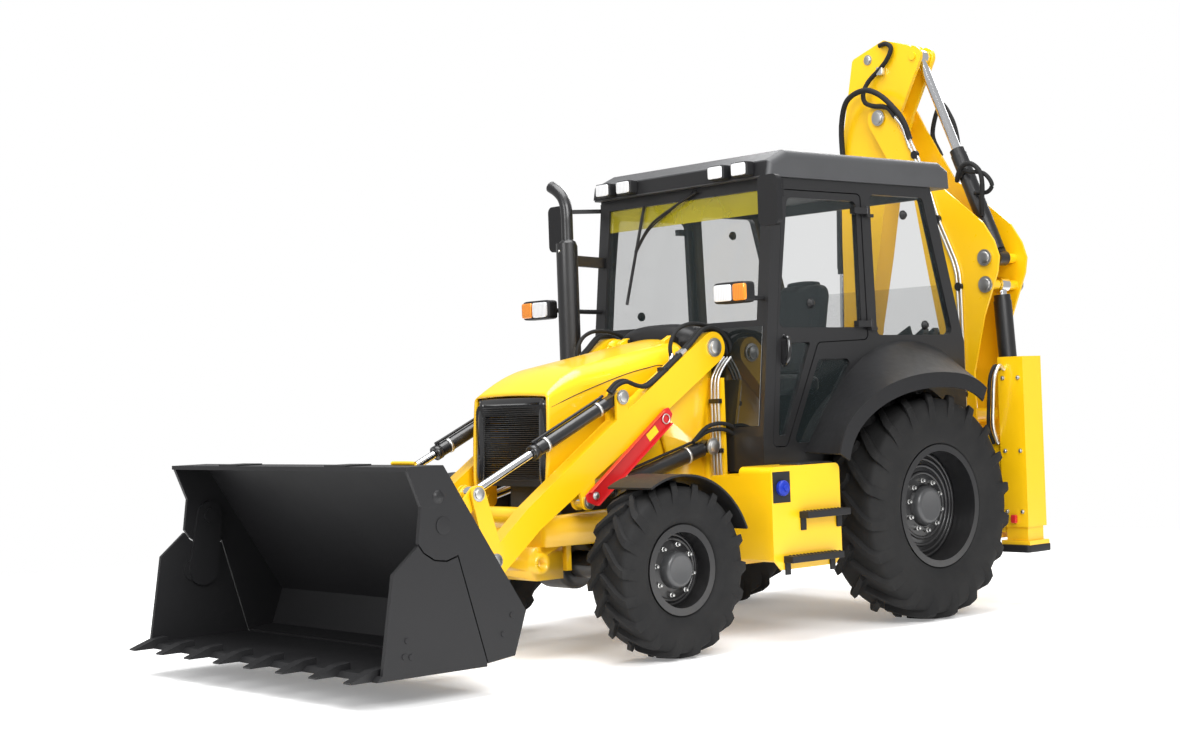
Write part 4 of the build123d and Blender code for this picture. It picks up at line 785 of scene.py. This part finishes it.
def ramTrim(r, hand, sign):
    base, tip = np.array(r["base"]), np.array(r["tip"])
    ahead = (tip - base) / np.linalg.norm(tip - base)
    above = np.array([-ahead[1], ahead[0]])

    def onRam(distance, rise=0.0):
        x, z = base + distance * ahead + rise * above
        return at(x, sign * 0.45, z)

    name, body, radius, (s0, s1) = r["name"], r["body"], r["radius"], r["span"]
    axis = (ahead[0], 0, ahead[1])
    low, high = radius - 0.006, radius + 0.012
    spots = [(s0, low), (s0, high), (s0 + 0.02, high), (s1 - 0.02, high), (s1, high), (s1, low)]
    tube(f"{name}Pipe{hand}", [onRam(*s) for s in spots], 0.0085, "trim", body, 40, 12)
    band = [(x, radius + rise) for x, rise in ramBand]
    bands = [onRam(k) for k in r["bands"]]
    turnedSet(f"{name}Bands{hand}", bands, axis, band, 32, "zinc", body, ring=True)
    collar = [(x, radius + rise) for x, rise in ramCollar]
    turnedSet(f"{name}Gland{hand}", [onRam(s1 + 0.035)], axis, collar, 32, "black", body, ring=True)


for r in ramSets:
    for hand, sign in sides:
        ramTrim(r, hand, sign)
print("ram pipes")

# hydraulic hoses that cross the arms' pivot, on no body, and the feed runs that ride on the arm
hoseSet = dict(radius=0.0125, pivot=[(1300, 450, 1840), (1560, 450, 1740)],
               lift=[(1300, 470, 1270), (1480, 470, 1210)])
pivotHoses = {
    "hoodLoop": [(1175, 425, 1690), (1204, 425, 1800), (1304, 425, 1868), (1473, 425, 1890),
                 (1591, 425, 1852), (1648, 425, 1765), (1642, 425, 1672)],
    "armHoseOuter": [(1185, 480, 1700), (1217, 480, 1792), (1318, 482, 1858), (1420, 482, 1856),
                     (1520, 480, 1778), (1600, 480, 1716)],
    "armHoseInner": [(1190, 452, 1690), (1225, 452, 1785), (1325, 452, 1850), (1425, 452, 1850),
                     (1522, 452, 1776), (1600, 452, 1716)],
}
armRuns = {
    "tiltFeedOuter": [(1595, 480, 1720), (1700, 484, 1650), (1830, 490, 1566), (1920, 494, 1522),
                      (2000, 496, 1530), (2070, 496, 1552), (2140, 494, 1535), (2195, 490, 1490)],
    "tiltFeedInner": [(1595, 452, 1720), (1700, 456, 1650), (1830, 464, 1566), (1920, 468, 1526),
                      (2000, 470, 1538), (2070, 472, 1560), (2140, 474, 1548), (2200, 472, 1500)],
}
ferrule = [(-0.024, 0.0), (-0.024, 0.0155), (0.01, 0.0155), (0.012, 0.019), (0.026, 0.019), (0.026, 0.0)]
for name, points in pivotHoses.items():
    for hand, sign in sides:
        piece = tube(name + hand, mm(points, sign), hoseSet["radius"], "hose", None, 44, 12)
        start, end = mm(hoseSet["pivot"], sign)
        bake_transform(piece)
for name, points in armRuns.items():
    for hand, sign in sides:
        tube(name + hand, mm(points, sign), hoseSet["radius"], "hose", "arms", 44, 12)
for hand, sign in sides:
    ends = mm([(1642, 425, 1690), (1598, 480, 1718), (1598, 452, 1718)], sign)
    turnedSet(f"hoseFerrules{hand}", ends[:1], (0, 0, -1), ferrule, 16, "zinc", "arms")
    turnedSet(f"hoseUnions{hand}", ends[1:], (0.84, 0, -0.54), ferrule, 6, "steel", "arms", smooth=False)
    pillow(f"hoseClip{hand}", mm([(1735, 432, 1606), (1775, 500, 1634)], sign), "trim", "arms", 0.3)
print("arm hoses")

# lift ram hoses and the three feed pipes down the tower's rear edge
liftHoses = {
    "liftHoseA": [(1110, 470, 1080), (1140, 500, 1150), (1205, 522, 1236), (1325, 526, 1284),
                  (1440, 502, 1268), (1520, 462, 1184)],
    "liftHoseB": [(1100, 440, 1040), (1135, 480, 1115), (1215, 520, 1198), (1325, 524, 1248),
                  (1430, 492, 1240), (1500, 452, 1188)],
}
towerRun = [(1185, 1695), (1235, 1655), (1290, 1595), (1318, 1520), (1320, 1300), (1320, 1040), (1312, 950)]
for name, points in liftHoses.items():
    for hand, sign in sides:
        piece = tube(name + hand, mm(points, sign), hoseSet["radius"], "hose", None, 36, 12)
        start, end = mm(hoseSet["lift"], sign)
        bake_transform(piece)
for hand, sign in sides:
    for k, y in enumerate((428, 456, 484)):
        route = mm([(x, y, z) for x, z in towerRun], sign)
        tube(f"towerPipe{k}{hand}", route, 0.0085, "zinc", "chassis", 40, 12)
    for z in (1420, 1120):
        clamp = (box(1302, z - 14, 1334, z + 14), sign * 0.412, sign * 0.5)
        slabs(f"pipeClamp{hand}{z // 10}", [clamp], sideways, "black", "chassis")
print("lift hoses and tower pipes")

# lock strut: a pressed channel with a bolt at its foot, a ring pin at its head and a plain label plate
strutSet = dict(foot=(2.375, 0.905), head=(1.79, 1.34), half=0.05, web=(0.516, 0.526), face=0.548)
foot, head = np.array(strutSet["foot"]), np.array(strutSet["head"])
length = float(np.linalg.norm(head - foot))
strutDir = (head - foot) / np.linalg.norm(head - foot)
strutUp = np.array([strutDir[1], -strutDir[0]])


def onStrut(a, b):  # a along the strut from its foot, b across it
    return tuple(foot + a * strutDir + b * strutUp)


def besideStrut(a, y):  # a place on the strut's middle line, y out from the machine's middle
    x, z = onStrut(a, 0.0)
    return at(x, y, z)


h = strutSet["half"]
channel = [(-0.02, -h), (length - 0.02, -h), (length + 0.045, -0.3 * h), (length + 0.045, 0.7 * h),
           (length + 0.01, h), (-0.045, h), (-0.06, 0.2 * h)]
plates = [([onStrut(*p) for p in channel], *strutSet["web"])]
for k in (-1, 1):
    flange = [(-0.02, k * h - 0.006 * k), (length, k * h - 0.006 * k), (length, k * h), (-0.02, k * h)]
    plates.append(([onStrut(*p) for p in flange], 0.52, strutSet["face"]))
strut = slabs("lockStrut", plates, sideways, "red", "arms")
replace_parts(strut, "safety_strut")
bosses = [besideStrut(a, 0.499) for a in (0.01, length - 0.02)]
boss = [(0.0, 0.0), (0.0, 0.022), (0.02, 0.022), (0.02, 0.0)]
turnedSet("strutBosses", bosses, (0, 1, 0), boss, 20, "black", "arms")
turnedSet("strutBolt", [besideStrut(0.01, 0.526)], (0, 1, 0), pinProfile(0.017, 0.016), 20, "steel", "arms")
hoop = circle(0.004, 10) + [0.0, 0.028]
turnedSet("strutRing", [besideStrut(length - 0.02, 0.534)], (0, 1, 0), hoop, 32, "zinc", "arms", ring=True)
label = [(length - 0.2, -0.024), (length - 0.11, -0.024), (length - 0.11, 0.024), (length - 0.2, 0.024)]
slabs("strutLabel", [([onStrut(*p) for p in label], 0.526, 0.528)], sideways, "label", "arms", 0.0005)
print("lock strut")

# backhoe hoses: routes in the hoe's own plane (u, z, w)
hoeHoses = [
    dict(name="dipperHoseA", radius=0.017, blend=[(800, 3470, 170), (1000, 3740, 170)],
         route=[(951, 3950, 105), (885, 3955, 108), (838, 3915, 110), (874, 3842, 112), (943, 3780, 114),
                (1045, 3703, 125), (1078, 3620, 150), (1040, 3545, 180), (956, 3506, 192), (830, 3478, 190),
                (760, 3400, 186)]),
    dict(name="dipperHoseB", radius=0.02, blend=[(720, 3420, 170), (1100, 3620, 170)],
         route=[(1320, 3120, 108), (1330, 3230, 115), (1296, 3429, 150), (1200, 3580, 190), (1026, 3628, 205),
                (878, 3572, 205), (745, 3448, 198), (676, 3346, 190), (637, 3227, 182)]),
    dict(name="headHose", body="dipper", radius=0.016,
         route=[(1000, 3900, 70), (960, 3945, 40), (890, 3958, 0), (820, 3925, -20), (785, 3857, -40),
                (795, 3772, -60)]),
    dict(name="ramHose", body="dipper_barrel", radius=0.017,
         route=[(330, 2900, 55), (306, 2930, 80), (258, 2990, 95), (177, 3005, 100), (100, 2940, 100),
                (86, 2837, 95), (108, 2729, 80), (128, 2640, 52)]),
    dict(name="ramHoseLow", body="dipper_barrel", radius=0.015,
         route=[(292, 2930, 62), (250, 2965, 78), (193, 2950, 86), (80, 2925, 80), (22, 2846, 72),
                (66, 2796, 66), (178, 2800, 62)]),
    dict(name="farHose", body="boom", radius=0.017,
         route=[(640, 3130, -170), (720, 3300, -182), (640, 3500, -182), (550, 3400, -180), (500, 3260, -178),
                (480, 3060, -172)]),
]
boomRun = [(637, 3225), (533, 3000), (470, 2820), (408, 2635), (320, 2440), (262, 2300), (240, 2150),
           (236, 1700), (232, 1100)]
for hose in hoeHoses:
    piece = tube(hose["name"], hoeMm(hose["route"]), hose["radius"], "hose", hose.get("body"), 60, 14)
    if "blend" in hose:
        start, end = hoeMm(hose["blend"])
        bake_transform(piece)
for k, inward in enumerate((0, 30)):
    tube(f"boomPipe{k}", hoeMm([(u + inward, z, 178) for u, z in boomRun]), 0.0095, "zinc", "boom", 60, 12)
branch = hoeMm([(760, 3402, 186), (700, 3320, 182), (640, 3160, 180)])
tube("branchPipe", branch, 0.012, "zinc", "boom", 20, 12)
clips = hoeMm([(600, 3110, 168), (423, 2635, 168), (256, 2150, 168), (249, 1400, 168)])
clip = [(0.0, 0.0), (0.0, 0.032), (0.022, 0.03), (0.024, 0.0)]
turnedSet("pipeClips", clips, (1, 0, 0), clip, 12, "trim", "boom", smooth=False)
pillow("headClip", hoeMm([(975, 3735, 85), (915, 3795, 128)]), "zinc", "dipper", 0.3)
print("backhoe hoses")

# stabilisers: black foot plates, guide bolts, a latch lever and feed hoses
legSet = dict(foot=[(-1076, 913, 352), (-824, 1147, 404)], latch=[(-846, 1010, 545), (-822, 1050, 600)],
              bolts=[(-849, y, z) for z in (620, 1020, 1500) for y in (970, 1090)],
              hose=[(-852, 980, 1560), (-800, 980, 1580), (-765, 965, 1500), (-775, 940, 1330),
                    (-800, 915, 1180), (-866, 900, 1070)])
for hand, sign in hands:
    pillow(f"footPlate_{hand}", mm(legSet["foot"], sign), "plastic", f"stabiliser_{hand}", 0.16)
    bolt, bolts = pinProfile(0.011, 0.012), mm(legSet["bolts"], sign)
    turnedSet(f"guideBolts_{hand}", bolts, (1, 0, 0), bolt, 6, "steel", "chassis", smooth=False)
    pillow(f"legLatch_{hand}", mm(legSet["latch"], sign), "red", "chassis", 0.3)
    for k, (inward, finish) in enumerate(((0, "zinc"), (35, "hose"))):
        route = mm([(x, y - inward, z) for x, y, z in legSet["hose"]], sign)
        tube(f"legHose{k}_{hand}", route, 0.0125, finish, "chassis", 36, 12)
print("stabilisers")

# doors and windows: pull handles and catch knobs
doorSet = dict(grip=[(1048, 776, 1625), (1048, 808, 1640), (1044, 822, 1680), (1040, 822, 1740),
                     (1036, 808, 1782), (1034, 776, 1798)],
               edge=[(1.17, 1.13), (1.008, 2.69), (0.29, 2.69), (0.262, 1.77), (0.73, 1.755), (1.04, 1.13)])
knob = [(-0.004, 0.0), (-0.004, 0.03), (0.006, 0.03), (0.01, 0.02), (0.022, 0.018), (0.028, 0.01),
        (0.029, 0.0)]
for hand, sign in hands:
    axis, catches = (0, sign, 0), mm([(774, 761, 1999), (-133, 766, 2572), (-314, 766, 1862)], sign)
    tube(f"doorGrip_{hand}", mm(doorSet["grip"], sign), 0.013, "gloss", f"{hand}_door", 30, 14)
    turnedSet(f"doorKnob_{hand}", catches[:1], axis, knob, 24, "trim", f"{hand}_door")
    turnedSet(f"windowKnobs_{hand}", catches[1:], axis, knob, 24, "trim", "chassis")
# door seals: rubber strips round each door opening, inside the door's edge
for hand, sign in hands:
    strips = []
    for a, b in zip(np.array(doorSet["edge"]), np.roll(doorSet["edge"], -1, axis=0)):
        ahead = 0.016 * (b - a) / np.linalg.norm(b - a)
        across = np.array([-ahead[1], ahead[0]])
        corners = [a - ahead - across, b + ahead - across, b + ahead + across, a - ahead + across]
        strips.append((corners, sign * 0.716, sign * 0.736))
    slabs(f"doorSeal_{hand}", strips, sideways, "trim", "chassis")
print("handles and knobs")

# hood: a crowned skin whose top line swoops down to the grille, with a seam along each side
hoodSet = dict(
    rear=1.43, low=0.96, half=0.335, rows=48, wall=0.012,
    seam=[(2530, 337.2, 1418), (2292, 342.5, 1500), (1977, 343.5, 1590), (1774, 343.5, 1632),
          (1640, 343.5, 1644), (1612, 344, 1560)],
    eye=[(1.409, 1.806), (1.42, 1.831), (1.44, 1.831), (1.5, 1.8), (1.5, 1.77), (1.43, 1.77)])


def hoodTop(q):  # the top line: a gentle parabola, and a steeper one over the last quarter
    return 1.795 - 0.17 * q - 0.035 * q ** 2 - 0.098 * np.clip((q - 0.72) / 0.28, 0, 1) ** 2


def hoodSkin(h):
    # rows along the hood, each a side wall with a slight bulge, a quarter circle and a crowned top, mirrored
    low, half = h["low"], h["half"]
    q = np.linspace(0, 1, h["rows"])[:, None]
    top = hoodTop(q)
    corner = 0.115 * (1 - q ** 4) + 0.03
    rise = np.linspace(0, 1, 12)[None, :-1]
    turn = np.linspace(0, np.pi / 2, 10)[None, :]
    inward = np.linspace(1, 0, 9)[None, 1:]
    wall = half * np.ones_like(q) * np.ones_like(rise)
    y = np.hstack([wall, half - corner + corner * np.cos(turn), (half - corner) * inward])
    crown = top + 0.022 * (1 - 0.6 * q) * (1 - inward ** 2)
    z = np.hstack([low + rise * (top - corner - low), top - corner + corner * np.sin(turn), crown])
    y = y + 0.01 * np.sin(np.pi * np.clip((z - low) / (top - low), 0, 1)) * (y > 0.3)
    y = np.hstack([y, -y[:, -2::-1]])
    z = np.hstack([z, z[:, -2::-1]])
    x = h["rear"] + q * (hoodFront(z) - h["rear"])
    piece = newMesh("hoodSkin", np.stack([x - midX, y, z], -1), gridFaces(*y.shape), "yellow", "hood_cover")
    sheet = piece.modifiers.new("sheet", "SOLIDIFY")
    sheet.thickness = h["wall"]
    sheet.offset = -1.0
    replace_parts(piece, "hood")


hoodSkin(hoodSet)
for hand, sign in sides:
    tube(f"hoodSeam{hand}", mm(hoodSet["seam"], sign), 0.0028, "trim", "hood_cover", 50, 8)
slabs("hoodEyes", [(hoodSet["eye"], y, y + 0.04) for y in (-0.22, 0.18)], sideways, "yellow", "hood_cover")
pillow("dashHump", mm([(1150, -345, 1640), (1424, 345, 1908)]), "trim", "chassis", 0.72, 36, 64)
print("hood")

# operator's seat: three padded pieces blown up a little like foam under cloth
seatSet = dict(voxel=0.01, pressure=4.0, frames=20, most=0.014)


def readPoints(mesh):
    co = np.empty(len(mesh.vertices) * 3)
    mesh.vertices.foreach_get("co", co)
    return co.reshape(-1, 3)


def padding(name, corners, lean, s):
    # a rounded block leaned back by a shear of x over z, remeshed evenly, then pressed outwards as cloth
    shell = pillow(name + "Start", corners, "seat", None, 0.32, 28, 44)
    co = readPoints(shell.data)
    co[:, 0] -= lean * (co[:, 2] - corners[0][2])
    shell.data.vertices.foreach_set("co", co.ravel())
    even = shell.modifiers.new("even", "REMESH")
    even.mode = "VOXEL"
    even.voxel_size = s["voxel"]
    graph = bpy.context.evaluated_depsgraph_get()
    mesh = bpy.data.meshes.new_from_object(shell.evaluated_get(graph))
    bpy.data.objects.remove(shell)
    piece = bpy.data.objects.new(name, mesh)
    bpy.context.scene.collection.objects.link(piece)
    start = readPoints(mesh)
    puff = piece.modifiers.new("puff", "CLOTH")
    puff.settings.use_pressure = True
    puff.settings.uniform_pressure_force = s["pressure"]
    puff.settings.effector_weights.gravity = 0.0
    for k in range(1, s["frames"] + 1):
        bpy.context.scene.frame_set(k)
    graph = bpy.context.evaluated_depsgraph_get()
    move = readPoints(piece.evaluated_get(graph).to_mesh()) - start
    piece.modifiers.remove(puff)
    distance = np.linalg.norm(move, axis=1, keepdims=True)
    move *= np.minimum(1.0, s["most"] / np.maximum(distance, 1e-9))
    mesh.vertices.foreach_set("co", (start + move).ravel())
    mesh.update()
    bpy.context.scene.frame_set(1)
    mesh.polygons.foreach_set("use_smooth", np.full(len(mesh.polygons), True))
    mesh.materials.clear()
    mesh.materials.append(finishes["seat"])
    finer = piece.modifiers.new("finer", "SUBSURF")
    finer.levels = 1
    finer.render_levels = 1
    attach(piece, "chassis")
    return piece


cushion = padding("seatCushion", mm([(70, -240, 1450), (550, 240, 1560)]), 0.0, seatSet)
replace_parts(cushion, "seat")
padding("seatBack", mm([(50, -222, 1575), (160, 222, 2180)]), 0.19, seatSet)
padding("headRest", mm([(-45, -130, 2120), (30, 130, 2190)]), 0.0, dict(seatSet, voxel=0.008))
print("seat")

# loader bucket: pivot caps, plate bolts and the level pointer on its top edge
bucketFace = 1145.2
bucketBolt = [(-0.002, 0.0), (-0.002, 0.016), (0.004, 0.014), (0.0045, 0.0)]
bucketSets = [
    dict(name="jawPivotCap", body="bucket", places=[(3910, 868)], around=36, sharp=30,
         profile=[(-0.003, 0.0), (-0.003, 0.044), (0.0035, 0.044), (0.0045, 0.038), (0.0045, 0.0)]),
    # the pivot's hole is a flat near-black disc: painted shade in the hole
    dict(name="jawPivotHoleShade", body="bucket", places=[(3936, 1010)], around=32, finish="trim",
         profile=[(-0.003, 0.0), (-0.003, 0.034), (0.0005, 0.034), (0.0006, 0.0)]),
    dict(name="bucketBolts", body="bucket", places=[(3500, 390), (3560, 300)], profile=bucketBolt,
         smooth=False),
    dict(name="jawBolts", body="jaw", places=[(4170, 255), (4130, 250), (4150, 330)], profile=bucketBolt,
         smooth=False),
]
for hand, sign in sides:
    for s in bucketSets:
        places = mm([(x, bucketFace, z) for x, z in s["places"]], sign)
        piece = turnedSet(s["name"] + hand, places, (0, sign, 0), s["profile"], s.get("around", 16),
                          s.get("finish", "bucket"), s["body"], s.get("smooth", True))
        if "sharp" in s:
            crisp(piece, s["sharp"])
pointer = mm([(3930, 960, 1172), (3930, 900, 1174), (3930, 760, 1174)])
tube("levelPointer", pointer, 0.01, "yellow", "bucket", 16, 10)
print("bucket")

# camera where the photograph was taken, with its framing
cameraSet = dict(place=(9.517, 8.682, 1.467), yaw=228.82, pitch=0.5, roll=-2.05, focal=1912.7,
                 centre=(590.0, 381.2), frame=(1180, 738))


def addCamera(c):
    data = bpy.data.cameras.new("photoCamera")
    data.sensor_fit = "HORIZONTAL"
    data.sensor_width = 36.0
    (across, down), (wide, high) = c["centre"], c["frame"]
    data.lens = c["focal"] * data.sensor_width / wide
    data.shift_x = -(across - wide / 2) / wide
    data.shift_y = (down - high / 2) / wide
    data.clip_end = 200.0
    yaw, pitch, roll = (math.radians(c[k]) for k in ("yaw", "pitch", "roll"))
    ahead = Vector((math.cos(pitch) * math.cos(yaw), math.cos(pitch) * math.sin(yaw), math.sin(pitch)))
    right = ahead.cross(Vector((0, 0, 1))).normalized()
    up = right.cross(ahead)
    cr, sr = math.cos(roll), math.sin(roll)
    right, up = right * cr + up * sr, up * cr - right * sr
    camera = bpy.data.objects.new("photoCamera", data)
    axes = Matrix((right, up, -ahead)).transposed()
    camera.matrix_world = Matrix.Translation(Vector(at(*c["place"]))) @ axes.to_4x4()
    bpy.context.scene.collection.objects.link(camera)
    bpy.context.scene.camera = camera


addCamera(cameraSet)

# studio: soft boxes, a bright room and a pale floor that is not part of the machine
lightSets = [
    dict(name="keyBox", place=(4.0, 9.0, 6.5), aim=(0.5, 0.0, 1.0), size=(6.0, 5.0), power=1050.0),
    dict(name="frontBox", place=(11.0, 1.0, 5.0), aim=(2.0, 0.0, 1.0), size=(5.0, 4.0), power=420.0),
    dict(name="topBox", place=(0.5, 0.5, 10.0), aim=(0.5, 0.5, 0.0), size=(9.0, 7.0), power=1250.0),
    dict(name="backBox", place=(-7.0, -3.0, 6.0), aim=(0.0, 0.0, 1.5), size=(6.0, 4.0), power=400.0),
]
for s in lightSets:
    data = bpy.data.lights.new(s["name"], "AREA")
    data.shape = "RECTANGLE"
    data.size, data.size_y = s["size"]
    data.energy = s["power"]
    lamp = bpy.data.objects.new(s["name"], data)
    lamp.location = s["place"]
    lamp.rotation_euler = (Vector(s["aim"]) - Vector(s["place"])).to_track_quat("-Z", "Y").to_euler()
    bpy.context.scene.collection.objects.link(lamp)
world = bpy.data.worlds.new("studio")
world.use_nodes = True
room = world.node_tree
path = room.nodes.new("ShaderNodeLightPath")
level = room.nodes.new("ShaderNodeMapRange")  # the camera sees a white room, the machine a dimmer one
level.inputs["To Min"].default_value = 0.50
level.inputs["To Max"].default_value = 1.0
room.links.new(path.outputs["Is Camera Ray"], level.inputs["Value"])
room.links.new(level.outputs[0], room.nodes["Background"].inputs[1])
room.nodes["Background"].inputs[0].default_value = (1.0, 1.0, 1.0, 1.0)
bpy.context.scene.world = world
bpy.context.scene.view_settings.view_transform = "Standard"
floorMesh = bpy.data.meshes.new("studioFloor")
corners = [(x, y, -0.002) for x, y in ((-60, -60), (60, -60), (60, 60), (-60, 60))]
floorMesh.from_pydata(corners, [], [(0, 1, 2, 3)])
white = (1.0, 1.0, 1.0)
f = Finish("paleFloor", Roughness=0.8, Emission_Color=shade(white), Emission_Strength=0.22)
f.feed("Base Color", f.mix(f.noise(0.4), shade(white, 0.9), shade(white, 0.94)))
reach = f.node("ShaderNodeVectorMath", {"operation": "LENGTH"}, {0: f.place}, out="Value")
f.feed("Alpha", ((8.5 - reach) * 0.3).held())  # the floor thins out into the white room
floorMesh.materials.append(f.material)
floor = bpy.data.objects.new("studioFloor", floorMesh)
bpy.context.scene.collection.objects.link(floor)
print("camera and studio")
